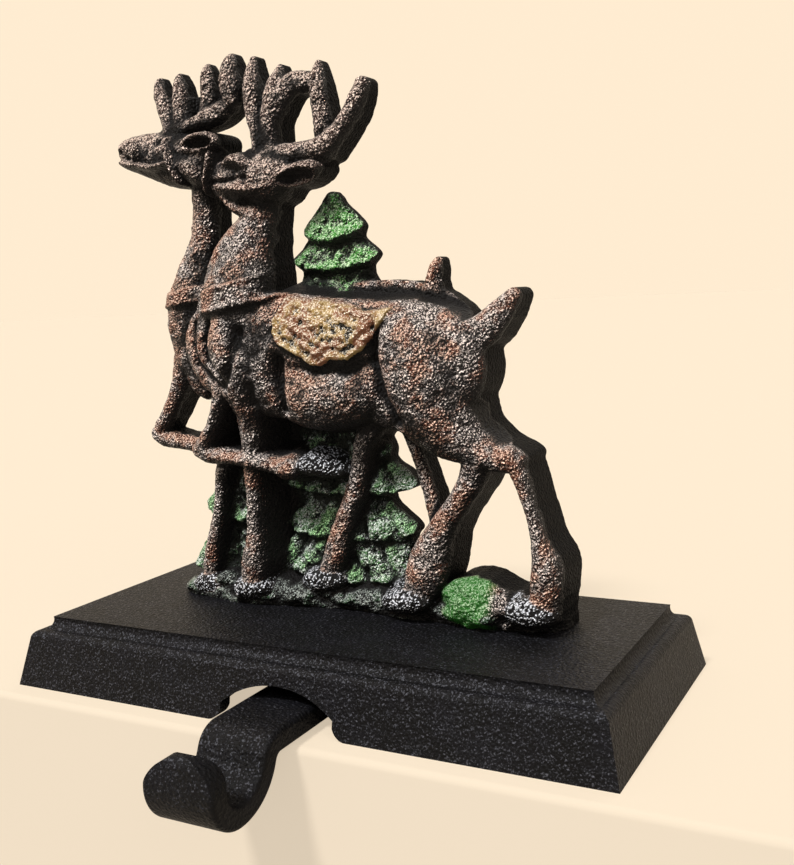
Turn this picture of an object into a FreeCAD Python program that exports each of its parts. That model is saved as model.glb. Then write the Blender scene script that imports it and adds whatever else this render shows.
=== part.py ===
import FreeCAD, Part
import math
import os

# Mantel stocking holder in cast iron: a hollow moulded plinth that stands on the shelf, a half-relief
# casting of two deer in front of trees that is screwed onto it, and a cast hook that runs under the
# plinth, out through a notch in its front wall and over the shelf's edge.
# Millimetres. X runs along the shelf, +Y towards the wall, +Z up. The origin is the middle of the
# plinth's footprint on the shelf.

V = FreeCAD.Vector

# Plinth
plinth_length = 146.05
plinth_width = 69.85
plinth_height = 15.7
side_height = 11.5
side_lean = 2.8
ledge_width = 2.5
ledge_rise = 1.4
cove_width = 1.5
plinth_wall = 3.6
plinth_top_wall = 4.2
pocket_draft = 2.4
pocket_corner = 4.0

# Notch in the plinth's front wall
notch_side_gap = 5.6
notch_head_gap = 3.6
notch_shoulder = 5.0
notch_foot_flare = 4.0
notch_foot_height = 2.4

# Hook
hook_width = 16.6
hook_thickness = 4.8
hook_edge_radius = 1.1
hook_lift = 0.5
hook_tail = 12.0
hook_overhang = 8.8
hook_corner_radius = 4.2
hook_corner_turn = 68.0
hook_bend_radius = 11.0
hook_tongue_radius = 6.0
hook_tongue_turn = 104.0
hook_tongue_length = 3.4
hook_tongue_round = 7.0

# Figure
figure_back = 9.5
antler_back = 6.0
figure_top = 139.7
figure_foot = 15.7
ground_overlap = 2.0
blanket_thickness = 1.0
collar_thickness = 1.1
ear_hollow_depth = 1.6
ear_rim = 1.0
ear_reach = 8.0
relief_facets = 8
steps_per_span = 2

# Screws, their holes and their bosses
screw_radius = 2.0
screw_clearance = 0.25
thread_gap = 0.1
figure_screw_x = 36.0
figure_screw_y = 4.0
figure_screw_bite = 4.0
boss_radius = 5.0
boss_drop = 6.2
pan_head_radius = 3.8
pan_head_height = 2.4
hook_screw_rear = 5.0
hook_screw_pitch = 15.0
hook_screw_bite = 6.5
flat_head_radius = 4.0
flat_head_height = 2.2
hook_pad_margin = 3.0

# Worked out from the sizes above
half_length = plinth_length / 2
half_width = plinth_width / 2
pocket_roof = plinth_height - plinth_top_wall
boss_foot = pocket_roof - boss_drop
hook_top = hook_lift + hook_thickness
hook_half = hook_width / 2
figure_screw_places = [(-figure_screw_x, figure_screw_y), (figure_screw_x, figure_screw_y)]
hook_screw_places = [(0, hook_screw_rear), (0, hook_screw_rear - hook_screw_pitch)]


def cylinder(radius, foot, head, place):
    return Part.makeCylinder(radius, head - foot, V(place[0], place[1], foot))


def flat_head(place):
    foot = V(place[0], place[1], hook_lift)
    return Part.makeCone(flat_head_radius, screw_radius, flat_head_height, foot)


def rounded_rectangle(half_x, half_y, corner, z):
    slab = Part.makeBox(2 * half_x, 2 * half_y, 1, V(-half_x, -half_y, z))
    upright = [e for e in slab.Edges if abs(e.Vertexes[0].Z - e.Vertexes[1].Z) > 0.5]
    foot = min(slab.makeFillet(corner, upright).Faces, key=lambda f: f.CenterOfMass.z)
    return foot.OuterWire


# Plinth

def moulding(half_span, reach, along_x):
    # The moulded section: a leaning side, a rounded ledge and a small cove up to the flat top. It is
    # drawn across the plinth and pushed along it.
    ledge_out = half_span - side_lean
    ledge_in = ledge_out - ledge_width
    top_in = ledge_in - cove_width
    ledge_top = side_height + ledge_rise
    bow = math.sin(math.pi / 4)
    ledge_mid = (ledge_in + ledge_width * bow, side_height + ledge_rise * bow)
    cove_mid = (top_in + cove_width * (1 - bow), ledge_top + (plinth_height - ledge_top) * (1 - bow))

    def at(across, up):
        return V(-reach, across, up) if along_x else V(across, -reach, up)

    def side(sign):
        foot = at(sign * half_span, 0)
        crest = at(sign * ledge_out, side_height)
        inner = at(sign * ledge_in, ledge_top)
        top = at(sign * top_in, plinth_height)
        return [
            Part.makeLine(foot, crest),
            Part.Arc(crest, at(sign * ledge_mid[0], ledge_mid[1]), inner).toShape(),
            Part.Arc(inner, at(sign * cove_mid[0], cove_mid[1]), top).toShape(),
        ]

    top = Part.makeLine(at(top_in, plinth_height), at(-top_in, plinth_height))
    foot = Part.makeLine(at(-half_span, 0), at(half_span, 0))
    outline = Part.Wire(side(1) + [top] + side(-1)[::-1] + [foot])
    push = V(2 * reach, 0, 0) if along_x else V(0, 2 * reach, 0)
    return Part.Face(outline).extrude(push)


def notch():
    # An arch with flared feet, wide and high enough for the hook's arm, cut through the front wall.
    arch_half = hook_half + notch_side_gap
    arch_top = hook_top + notch_head_gap
    foot_half = arch_half + notch_foot_flare
    spring = arch_top - notch_shoulder
    start = -half_width - 1
    end = -half_width + plinth_wall + pocket_draft + 1

    def at(x, z):
        return V(x, start, z)

    def flare(sign):
        middle = at(sign * (arch_half + notch_foot_flare * 0.3), notch_foot_height * 0.3)
        return Part.Arc(at(sign * foot_half, 0), middle, at(sign * arch_half, notch_foot_height)).toShape()

    edges = [
        Part.makeLine(at(-foot_half, -1), at(-foot_half, 0)),
        flare(-1),
        Part.makeLine(at(-arch_half, notch_foot_height), at(-arch_half, spring)),
        Part.Arc(at(-arch_half, spring), at(0, arch_top), at(arch_half, spring)).toShape(),
        Part.makeLine(at(arch_half, spring), at(arch_half, notch_foot_height)),
        flare(1),
        Part.makeLine(at(foot_half, 0), at(foot_half, -1)),
        Part.makeLine(at(foot_half, -1), at(-foot_half, -1)),
    ]
    outline = Part.Wire(Part.__sortEdges__(edges))
    return Part.Face(outline).extrude(V(0, end - start, 0))


def make_plinth():
    # The section pushed both ways and intersected leaves mitred corners. The underside is hollow,
    # with a pad for the hook's arm and two bosses for the screws that hold the figure.
    body = moulding(half_width, half_length, True).common(moulding(half_length, half_width, False))
    inner_length = half_length - plinth_wall
    inner_width = half_width - plinth_wall
    mouth = rounded_rectangle(inner_length, inner_width, pocket_corner, 0)
    roof = rounded_rectangle(
        inner_length - pocket_draft, inner_width - pocket_draft, pocket_corner, pocket_roof
    )
    pocket = Part.makeLoft([mouth, roof], True, True)
    body = body.cut(pocket)
    inside_roof = pocket_roof + plinth_top_wall / 2
    pad_end = screw_radius + hook_pad_margin
    pad_front = hook_screw_rear - hook_screw_pitch - pad_end
    pad_depth = hook_screw_pitch + 2 * pad_end
    pad = Part.makeBox(hook_width, pad_depth, inside_roof - hook_top, V(-hook_half, pad_front, hook_top))
    body = body.fuse(pad)
    for place in figure_screw_places:
        body = body.fuse(cylinder(boss_radius, boss_foot, inside_roof, place))
    for place in figure_screw_places:
        body = body.cut(cylinder(screw_radius + screw_clearance, 0, plinth_height + 1, place))
    for place in hook_screw_places:
        hole_end = hook_top + hook_screw_bite + thread_gap
        body = body.cut(cylinder(screw_radius + thread_gap, 0, hole_end, place))
    return body.cut(notch()).removeSplitter()


# Hook

def hook_path():
    # The strap's middle line seen from the side, as (forward, up): an arm, a corner down over the
    # shelf's edge, a wide bend forward and a tighter one up into the tongue.
    forward = half_width + hook_overhang
    up = hook_lift + hook_thickness / 2
    heading = 0.0
    edges = [Part.makeLine(V(0, hook_tail, up), V(0, -forward, up))]
    turns = [
        (hook_corner_radius, -hook_corner_turn),
        (hook_bend_radius, hook_corner_turn),
        (hook_tongue_radius, hook_tongue_turn),
    ]
    for radius, turn in turns:
        sign = math.copysign(1, turn)
        points = [(forward, up)]
        for share in (0.5, 1.0):
            angle = math.radians(heading + turn * share)
            start = math.radians(heading)
            points.append((
                forward + sign * radius * (math.sin(angle) - math.sin(start)),
                up - sign * radius * (math.cos(angle) - math.cos(start)),
            ))
        edges.append(Part.Arc(*[V(0, -a, b) for a, b in points]).toShape())
        forward, up = points[-1]
        heading += turn
    direction = V(0, -math.cos(math.radians(heading)), math.sin(math.radians(heading)))
    tip = V(0, -forward, up) + direction * hook_tongue_length
    edges.append(Part.makeLine(V(0, -forward, up), tip))
    return Part.Wire(edges), tip


def make_hook():
    path, tip = hook_path()
    slab = Part.makeBox(hook_width, 1, hook_thickness, V(-hook_half, hook_tail, hook_lift))
    lengthwise = [e for e in slab.Edges if abs(e.Vertexes[0].Y - e.Vertexes[1].Y) > 0.5]
    section = min(slab.makeFillet(hook_edge_radius, lengthwise).Faces, key=lambda f: f.CenterOfMass.y)
    body = path.makePipeShell([section.OuterWire], True, True)
    nose = Part.makeCylinder(hook_thickness / 2, hook_width, tip - V(hook_half, 0, 0), V(1, 0, 0))
    body = body.fuse(nose)
    end = tip.z + hook_thickness / 2
    spring = end - hook_tongue_round
    front = tip.y - hook_tongue_radius
    depth = hook_tongue_radius + hook_thickness

    def at(x, z):
        return V(x, front, z)

    spoon = Part.Wire([
        Part.Arc(at(-hook_half, spring), at(0, end), at(hook_half, spring)).toShape(),
        Part.makeLine(at(hook_half, spring), at(hook_half, end + 1)),
        Part.makeLine(at(hook_half, end + 1), at(-hook_half, end + 1)),
        Part.makeLine(at(-hook_half, end + 1), at(-hook_half, spring)),
    ])
    body = body.cut(Part.Face(spoon).extrude(V(0, depth, 0)))
    for place in hook_screw_places:
        body = body.cut(cylinder(screw_radius + screw_clearance, 0, hook_top + 1, place))
        body = body.cut(flat_head(place))
    return body


# Screws

def make_figure_screws():
    # Pan-head screws, up through the plinth's bosses into the figure's ground.
    screws = []
    for place in figure_screw_places:
        head = cylinder(pan_head_radius, boss_foot - pan_head_height, boss_foot, place)
        head = head.makeFillet(pan_head_height * 0.4, [head.Edges[2]])
        shank = cylinder(screw_radius, boss_foot, plinth_height + figure_screw_bite, place)
        screws.append(head.fuse(shank))
    return Part.makeCompound(screws)


def make_hook_screws():
    # Flat-head screws, flush with the underside of the hook's arm.
    screws = []
    for place in hook_screw_places:
        head = flat_head(place)
        shank = cylinder(screw_radius, hook_lift + flat_head_height, hook_top + hook_screw_bite, place)
        screws.append(head.fuse(shank))
    return Part.makeCompound(screws)


# Figure: a relief with a flat back. Every limb is a chain of D-shaped sections: straight sides from
# the back to a crease, then a half-round front. A station is (x, z, half width, swell), with the
# crease's y as a fifth value where it leaves the limb's own. Heights are read from the shelf on the
# drawing, where the figure's foot is at figure_foot.

def between(a, b, c, d, t):
    # Catmull-Rom curve from b to c, with a before them and d after.
    return 0.5 * (
        2 * b + (c - a) * t + (2 * a - 5 * b + 4 * c - d) * t ** 2 + (3 * b - a - 3 * c + d) * t ** 3
    )


def spline(stations, crease):
    # Few stations give a smooth limb, because the curve through them is worked out here.
    full = [s if len(s) > 4 else s + (crease,) for s in stations]
    full = [full[0]] + full + [full[-1]]
    result = []
    for before, start, end, after in zip(full, full[1:], full[2:], full[3:]):
        for step in range(steps_per_span):
            t = step / steps_per_span
            result.append(tuple(between(*values, t) for values in zip(before, start, end, after)))
    return result + [full[-1]]


def triangle(a, b, c):
    return Part.Face(Part.makePolygon([a, b, c, a]))


def skin(rings):
    # A closed solid over rings of equally many points, with each end closed by a fan.
    faces = []
    for near, far in zip(rings, rings[1:]):
        for i in range(len(near)):
            j = (i + 1) % len(near)
            faces.append(triangle(near[i], near[j], far[j]))
            faces.append(triangle(near[i], far[j], far[i]))
    for ring in (rings[0], rings[-1]):
        middle = sum(ring, V()) / len(ring)
        for i in range(len(ring)):
            faces.append(triangle(ring[i], ring[(i + 1) % len(ring)], middle))
    solid = Part.Solid(Part.Shell(faces))
    if solid.Volume < 0:
        solid.reverse()
    return solid


def limb(stations, crease, back, grow=0.0):
    points = spline(stations, crease)
    rings = []
    for i, (x, z, width, swell, side) in enumerate(points):
        ahead = points[min(i + 1, len(points) - 1)]
        behind = points[max(i - 1, 0)]
        run = V(ahead[0] - behind[0], 0, ahead[1] - behind[1]).normalize()
        across = V(-run.z, 0, run.x) * (width + grow)
        middle = V(x, 0, z)
        ring = [middle + across + V(0, back, 0), middle - across + V(0, back, 0)]
        for step in range(relief_facets + 1):
            angle = math.pi * step / relief_facets
            front = side - (swell + grow) * math.sin(angle)
            ring.append(middle - across * math.cos(angle) + V(0, front, 0))
        rings.append(ring)
    return skin(rings)


# The deer in front: it stands on one foreleg and two hind legs and lifts the other foreleg.
front_crease = -3.0
front_head_crease = 0.5
front_antler_crease = 1.0
front_torso = [
    (-31.6, 77.5, 5, 2.2), (-29, 77, 9.6, 4.4), (-24.5, 76, 12.8, 6), (-15, 74.5, 13.8, 6.5),
    (0, 73.3, 13.2, 6),
    (10, 73, 12.3, 5.8), (20, 71, 13.3, 6), (28, 70, 11.8, 5), (33.4, 71.2, 8.2, 2),
]
front_neck = [
    (-17.3, 109, 4.3, 4.8, 1), (-18.2, 104, 4.3, 5, 1), (-19.7, 100.5, 5.3, 5.5, 0.5),
    (-21.6, 96.5, 6.9, 6, -0.5),
    (-22.9, 92, 8.5, 6.6, -1.5), (-23.3, 87, 9, 7, -2.5), (-23, 82, 9.2, 7, -2.8),
]
front_head = [
    (-29.2, 113.9, 1.1, 1, 1.5), (-27.6, 113.2, 3.8, 3), (-24.2, 112.2, 5.7, 4.6), (-20, 111.8, 6.3, 5.6),
    (-15, 111.6, 6.2, 5.8), (-11, 111.8, 4.8, 4.5), (-8.6, 112, 3.2, 3),
]
front_tail = [
    (31.5, 78, 2.8, 2.6, -2.5), (36, 80.2, 2.2, 2.2, -1.5), (40, 83.2, 1.8, 1.9, -0.5),
    (42.5, 85.8, 0.8, 1, 1),
]
front_thigh = [
    (22, 66, 9.5, 6), (27, 59.5, 6.2, 5.5), (32, 55.3, 3.7, 4), (37, 53.2, 2.7, 3),
    (42, 52.8, 2.4, 2.6), (44.6, 53, 1.2, 1.2),
]
front_shank = [
    (42.4, 54, 2, 2), (44, 50, 2.2, 2.6), (45.4, 45, 1.8, 2.3), (46.5, 40, 1.8, 2.3),
    (47.5, 35, 2.2, 2.5),
    (48.2, 30.5, 3.1, 3), (47.9, 26.5, 3.3, 2.8), (47.4, 22.5, 3, 2.4), (46.8, 20, 2.2, 1.4),
]
far_hind_leg = [
    (33.5, 53, 3.6, 3.5, -2), (32, 48.3, 3, 3.2, -2), (29.7, 44.5, 2.7, 3, -2), (27.2, 41, 2.7, 3, -2),
    (24, 36.5, 3, 3.1, -2), (21.3, 32, 3.6, 3.3, -2), (19.3, 27.5, 4, 3.4, -2),
    (17.6, 22.5, 3.2, 2.6, -2), (16.6, 20, 2.2, 1.4, -2),
]
standing_foreleg = [
    (-21.5, 66, 4.5, 5), (-22.2, 58, 3, 3.6), (-22.5, 51, 2.4, 3), (-22.8, 45, 2.1, 2.7),
    (-23, 40, 2, 2.6),
    (-23.4, 35, 2.1, 2.6), (-23.8, 30, 2.7, 2.9), (-24.5, 26, 3.4, 3), (-25.4, 22, 3, 2.2),
    (-25.8, 20, 2.2, 1.4),
]
lifted_forearm = [
    (-26.5, 71, 4.2, 5.5), (-30.3, 63.8, 2.9, 4.6), (-33.6, 58.2, 2.4, 4), (-36, 54.3, 2.4, 3.6),
    (-37.1, 52.2, 1.3, 2.2),
]
lifted_shin = [
    (-38, 53, 1.4, 2.2), (-34.5, 51.9, 2.1, 3.6), (-28, 51.4, 1.9, 3.9), (-21, 50.8, 2, 4.4),
    (-15, 48.9, 2.4, 4.1), (-11.5, 48.6, 1.9, 3.4),
]
front_hooves = [
    [
        (38.9, 20.2, 1.3, 1.2, -2), (41.5, 20.5, 2.9, 2.5), (46.5, 20.9, 3.3, 2.8),
        (49.4, 21, 2.6, 2.2), (50.5, 21, 1.4, 1, -1),
    ],
    [(10.4, 19.9, 1.2, 1, -1.5), (12.8, 20.2, 2.6, 2.2), (17, 20.6, 3, 2.5), (19.8, 21, 2.3, 1.8)],
    [(-30.4, 19.3, 1.1, 1, -2), (-28.5, 19.5, 2.4, 2), (-25, 19.8, 2.8, 2.4), (-22, 20, 2.1, 1.7)],
    [(-12.3, 48.7, 1.7, 2.8), (-8, 49.2, 2.4, 3.4), (-3.5, 49.4, 1.9, 2.7), (-0.4, 49.3, 0.7, 1.1)],
]
shoulder = [
    (-24.5, 84, 3, 5.5), (-24, 79, 6.5, 8.6), (-23, 73, 7.2, 9), (-22, 67, 5.5, 7),
    (-21.6, 62, 3.4, 4.6),
]
haunch = [
    (16.5, 80.5, 3.4, 5), (18.5, 76.5, 7.4, 8), (21, 70.5, 9.2, 9), (23.5, 64.5, 8, 7.6),
    (27, 59, 4.6, 5.5),
]

# Its antlers: a beam swept back over the ear, with tines that stand on it.
front_antler = [
    [
        (-20.5, 117, 2.3, 2.8), (-13, 117, 2.7, 3), (-8, 116.9, 2.6, 3), (-2.5, 117.5, 2.4, 2.8, 1.2),
        (1.4, 119.5, 2.2, 2.5, 1.6), (4, 123, 1.9, 2.2, 2), (5.5, 126.8, 1.6, 2, 2.2),
        (6.2, 129.4, 0.9, 1.2, 3.4),
    ],
    [
        (-19.9, 117, 2.7, 2.9), (-20.6, 124, 2.6, 2.9), (-20.4, 130.5, 2.2, 2.6, 1.4),
        (-20, 135, 1.6, 1.8, 2.2), (-20, 137, 0.8, 0.9, 3.6),
    ],
    [
        (-15.2, 117, 2.6, 2.8), (-15, 124.5, 2.4, 2.7), (-14.3, 129.6, 2, 2.4, 1.5),
        (-13.7, 132.8, 1.5, 1.7, 2.3), (-13.5, 134.4, 0.7, 0.8, 3.6),
    ],
    [
        (-15, 126, 1.7, 2.2), (-11.8, 129.5, 1.9, 2.3, 1.5), (-8.8, 130.9, 1.8, 2.1, 2),
        (-5.4, 130.8, 1.6, 1.9, 2.2), (-3.5, 130.4, 1.2, 1.5, 2.4),
    ],
    [
        (-2.8, 117.6, 2.8, 2.7, 2), (-2.9, 122.6, 2.1, 2.4, 2), (-3.6, 128.6, 2, 2.2, 2),
        (-4.2, 132.2, 1.5, 1.6, 2.8), (-4.2, 134, 0.7, 0.8, 3.8),
    ],
]

# The deer behind: its neck, head and chest show on the left, its back, tail and two hind legs on the
# right, and it lifts a foreleg too.
rear_crease = 2.5
rear_body_crease = 3.0
rear_head = [
    (-57.2, 121, 0.9, 0.8, 3.2), (-55.6, 120.6, 3.1, 2.5, 2), (-51, 120, 4.4, 4, 2),
    (-46, 119.4, 5.2, 4.8, 2),
    (-40, 118.2, 6.2, 5.6, 2), (-34, 117.4, 6.5, 6, 2), (-29, 118, 5.7, 5.2, 2), (-26.4, 118.4, 4, 3, 2),
]
rear_neck = [
    (-33.6, 114, 3.6, 3.5), (-34.2, 108.5, 3.4, 3.8), (-34.8, 104, 3.6, 4), (-35.6, 100, 4.5, 4.4),
    (-37.5, 96, 5.2, 4.8),
    (-39.5, 92, 5.8, 5.2), (-41.2, 87.5, 6.4, 5.6), (-42.1, 82, 6.7, 5.6), (-41.8, 77.5, 6.1, 5),
    (-40.6, 73, 5.2, 4.4),
    (-39.6, 68.5, 3.8, 3.2), (-39, 66.3, 2.4, 2),
]
rear_chest = [
    (-33, 98, 2.4, 2.2, 3), (-34.6, 92.5, 4, 3.6), (-36, 86.5, 5.2, 4.6), (-36.2, 80, 5.2, 4.6),
    (-34.8, 73.5, 4.6, 4), (-33, 67, 3, 3),
]
rear_torso = [
    (-32, 76, 11, 1.2), (-5, 76.3, 12.2, 1.5), (10, 76.6, 12.4, 1.5), (20, 76, 12.5, 1.5),
    (26, 75, 11, 1.5), (30.4, 74.2, 9, 1),
]
rear_tail = [(20.8, 86, 3.2, 2), (21.3, 89.3, 2, 1.8), (22, 91.8, 1.4, 1.4), (22.4, 93.4, 0.5, 0.6, 4.5)]
rear_hind_leg = [
    (10, 61, 4.6, 3, 1), (7.5, 54.5, 3.8, 3, 1), (4.8, 49, 2.9, 2.9, 1), (2.2, 43.5, 2.6, 2.8, 1),
    (-0.3, 38.3, 2.6, 2.8, 1),
    (-2.6, 33, 2.9, 2.9, 1), (-4.2, 28.5, 3.1, 3, 1), (-6, 24.5, 2.8, 2.4, 1), (-6.6, 22.5, 2, 1.4, 1),
]
rear_thin_leg = [
    (15.3, 58, 2.3, 1.6), (16.9, 52.3, 1.5, 1.5), (18.1, 48.3, 1.5, 1.4), (19.4, 44, 1.6, 1.4),
    (20.6, 39.5, 1.8, 1.5), (21.4, 35, 1.8, 1.5),
]
rear_standing_foreleg = [
    (-32.3, 50.5, 2.3, 2.3, 0.5), (-34.2, 47, 1.9, 2.3, 0.5), (-35.3, 42.3, 1.6, 2.1, 0.5),
    (-36.2, 37.3, 1.6, 2.1, 0.5),
    (-37.8, 32.3, 1.8, 2.1, 0.5), (-39.4, 27, 2.1, 2.3, 0.5), (-40.4, 22, 2.3, 2.1, 0.5),
    (-40.6, 19.5, 1.8, 1.4, 0.5),
]
rear_lifted_forearm = [
    (-44.3, 73.5, 3.6, 3.2), (-47.1, 67, 2.5, 2.8), (-50.2, 61.8, 2.1, 2.5), (-53.2, 57.6, 2.1, 2.4),
    (-54.9, 55, 1.3, 1.6),
]
rear_lifted_shin = [
    (-55.6, 55.7, 1.3, 1.4), (-52.6, 54.3, 2.1, 2.3), (-47, 53.5, 1.9, 2.3), (-41, 52.6, 1.9, 2.3),
    (-37, 50.8, 1.9, 2.1),
    (-34.6, 47.2, 1.8, 1.9),
]
rear_hooves = [
    [
        (-12.6, 21.9, 1.2, 1, 1), (-10.2, 22.2, 2.4, 2, 0), (-6.5, 22.6, 2.8, 2.4, 0),
        (-3.6, 22.8, 2.2, 1.8, 0),
    ],
    [
        (-44.5, 18.5, 1.1, 0.9, 0.5), (-42.5, 18.8, 2.3, 1.8, -0.5), (-39.5, 19.1, 2.6, 2, -0.5),
        (-37, 19.3, 1.9, 1.5, -0.5),
    ],
]
rear_antler = [
    [
        (-46, 124.3, 1.3, 1.6, 3.2), (-43, 124.3, 1.9, 2.6), (-39, 124.4, 2, 2.8), (-35, 125.3, 1.9, 2.6),
        (-31, 126.5, 1.8, 2.5), (-27, 127.8, 1.8, 2.4), (-24.5, 128.6, 1.5, 2),
    ],
    [(-44.4, 124.8, 2.6, 2.4), (-45.5, 130, 2.2, 2.2), (-46.2, 133.6, 1.6, 1.7, 2.8), (-46.4, 135.4, 0.8, 0.9, 3.8)],
    [(-40.3, 125, 2.9, 2.5), (-40.2, 130.6, 2.3, 2.2), (-40.2, 134, 1.5, 1.7, 2.8), (-40.4, 135.9, 0.8, 0.9, 3.8)],
    [(-32.8, 127, 2.7, 2, 3.2), (-32.8, 131.8, 2.3, 2, 3.2), (-32.8, 135, 1.5, 1.6, 3.2), (-33, 136.9, 0.8, 0.9, 4.2)],
    [
        (-25, 127, 2.6, 2.6, 1.8), (-25.8, 131, 2.8, 2.7, 1.8), (-26.1, 136, 1.8, 2, 2.2),
        (-26, figure_top - 0.7, 0.9, 1, 3.8),
    ],
]

# Thin webs that the casting keeps between tines and behind the legs, as (outline, crease).
webs = [
    (
        [(-45, 124.5), (-44.6, 131.5), (-42.4, 133.2), (-35.4, 132.6), (-29.3, 133), (-25.4, 132.4),
         (-24, 128), (-33, 125)],
        4.7,
    ),
    (
        [(-20.3, 116.5), (-21, 131), (-20.2, 133.6), (-15.6, 131.8), (-12.6, 130.4), (-13.4, 126),
         (-14, 117)],
        3.4,
    ),
    ([(-38.4, 48), (-38.4, 54), (-31, 66), (-10, 66), (-10, 48)], 5.6),
    ([(-33, 17), (-33, 50), (-10, 52), (-10, 17)], 6.4),
]

# Trees, as (top z, tip z, drooping middle z, top half width, tip half width) for each tier.
tall_tree_x = -2.7
short_tree_x = -33.0
tree_crease = 5.8
tree_swell = 4.4
tall_tree = [
    (107.8, 101.3, 98.3, 0.9, 7.4), (100, 95.4, 92.2, 5, 11.3), (94, 88, 86, 8, 10.6),
    (60, 46.8, 43.4, 9, 17.4), (47.5, 36.2, 33, 10, 20), (37, 26, 22, 14, 22),
]
short_tree = [(52, 37.8, 34.8, 3, 11.8), (40.5, 23, 19, 6.5, 16.6)]

# Ground, as (x, front y, top z): a low bank of rock that carries the hooves.
ground = [
    (-51.5, 5, 17.6), (-48, 0.5, 19.2), (-43, -1.6, 20.6), (-37, -2.2, 21.6), (-30, -3.6, 21.2),
    (-23, -3.4, 22.4), (-15, -1.4, 21.8),
    (-8, -0.6, 23.4), (-1, 0.4, 22.2), (6, -0.4, 23), (13.5, -2, 21.6), (20, -1.2, 24),
    (27, -2.6, 25.6), (35, -2.8, 25.8),
    (43, -1.8, 25), (48.5, 0, 24.2), (50.6, 3, 22.6),
]
mound = [
    (24.6, 19.5, 2.4, 1.6), (27, 20.6, 5, 3.4), (31, 21, 6.2, 4.4), (35, 20.6, 5.4, 3.6),
    (38.6, 19.5, 2.8, 1.4),
]
mound_crease = -0.8

# Blanket and collar, as outlines that are cut out of a slightly thicker copy of the body.
blanket_outline = [
    (-9.4, 88.6), (-9.1, 85.6), (-10.6, 82.4), (-10.4, 79.2), (-8.9, 77), (-5.6, 75.2), (-3, 74),
    (-1.2, 72.4), (1.3, 72.3), (3.8, 73.8), (7.5, 73.4), (11, 75.6), (13, 78.2), (16, 81.4),
    (16.8, 84), (13.4, 83.5), (10.3, 83.3), (7.2, 84.5), (1.6, 86.2), (-5, 88.3),
]
front_collar_outline = [
    (-32.8, 84.8), (-31.4, 88.2), (-27.7, 89.8), (-22.9, 90), (-17.7, 90.9), (-14.8, 92.4), (-12, 93.2),
    (-12, 89.2), (-14.7, 87.2), (-18.4, 85.1), (-22.4, 83.8), (-28.2, 83.1), (-32, 83.2),
]
rear_collar_outline = [
    (-51, 85.8), (-50, 89.2), (-42, 89.2), (-36, 90.4), (-32, 90.6), (-31, 87.2), (-40, 86.2), (-46, 85.4),
]

# Ears: leaves that stand out of the heads, each hollowed by a smaller leaf.
front_ear = [
    (-13.4, 112.2, 1.4, 1.6), (-9, 111.9, 2.6, 2.8), (-5, 111.7, 3.1, 3.1), (-1, 111.9, 2.4, 2.5),
    (1.6, 112.4, 0.7, 0.9),
]
front_ear_hollow = [
    (-10.6, 111.9, 0.5), (-8, 112, 1.2), (-5, 112, 1.6), (-2.4, 112.2, 1.2), (-0.6, 112.4, 0.4),
]
front_ear_crease = -0.2
front_ear_back = 5.0
rear_ear = [
    (-36.6, 119.6, 0.9, 1.2), (-33, 120.2, 1.9, 2.2), (-29.6, 120.7, 2.2, 2.4), (-26.8, 121, 1.7, 1.9),
    (-25, 121.2, 0.6, 0.8),
]
rear_ear_hollow = [
    (-34.6, 120, 0.4), (-32.6, 120.4, 0.9), (-30, 120.8, 1.1), (-27.8, 121, 0.8), (-26.4, 121.1, 0.3),
]
rear_ear_crease = -1.8
rear_ear_back = 6.0


def plate(outline, near, far):
    face = Part.Face(Part.makePolygon([V(x, near, z) for x, z in outline + outline[:1]]))
    return face.extrude(V(0, far - near, 0))


def tier(axis, top, tip, middle, top_width, tip_width, back):
    # One skirt of branches: concave sides out to two upturned tips, with a rim that droops between.
    rings = []
    for share in (0.0, 0.35, 0.7, 1.0):
        width = top_width + (tip_width - top_width) * share ** 1.4
        swell = tree_swell * (0.45 + 0.55 * share)
        ring = []
        for step in range(relief_facets + 1):
            angle = math.pi * step / relief_facets
            low = tip - (tip - middle) * math.sin(angle)
            front = tree_crease - swell * math.sin(angle)
            ring.append(V(axis - width * math.cos(angle), front, top + (low - top) * share))
        ends = [V(ring[-1].x, back, ring[-1].z), V(ring[0].x, back, ring[0].z)]
        rings.append(ends + ring)
    return skin(rings)


def bank(back):
    # The ground's section at each place: flat underneath, a bulging front and a worn shoulder.
    foot = figure_foot - ground_overlap
    rings = []
    for x, front, top in ground:
        rise = top - figure_foot
        rings.append([
            V(x, back, foot), V(x, front, foot), V(x, front - 0.7, figure_foot + rise * 0.3),
            V(x, front, figure_foot + rise * 0.7), V(x, front + 1.8, top), V(x, back, top),
        ])
    return skin(rings)


def figure_pieces():
    # Every limb with its own crease. Each reaches a little further back than the last, so that no two
    # backs lie in one plane before the whole is trimmed flat.
    pieces = []

    def add(maker, *values):
        pieces.append(maker(*values, figure_back + 1 + 0.07 * len(pieces)))

    front_deer = [
        front_torso, front_neck, front_tail, front_thigh, front_shank, standing_foreleg, lifted_forearm,
        lifted_shin, far_hind_leg, shoulder, haunch, *front_hooves,
    ]
    rear_deer = [
        rear_neck, rear_chest, rear_head, rear_lifted_forearm, rear_lifted_shin, rear_standing_foreleg, rear_hind_leg,
        *rear_antler, *rear_hooves,
    ]
    for stations in front_deer:
        add(limb, stations, front_crease)
    add(limb, front_head, front_head_crease)
    for stations in front_antler:
        add(limb, stations, front_antler_crease)
    for stations in rear_deer:
        add(limb, stations, rear_crease)
    for stations in (rear_torso, rear_tail, rear_thin_leg):
        add(limb, stations, rear_body_crease)
    add(limb, mound, mound_crease)
    add(bank)
    for axis, tiers in ((tall_tree_x, tall_tree), (short_tree_x, short_tree)):
        for sizes in tiers:
            add(tier, axis, *sizes)
    for outline, crease in webs:
        add(plate, outline, crease)
    return pieces


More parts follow.
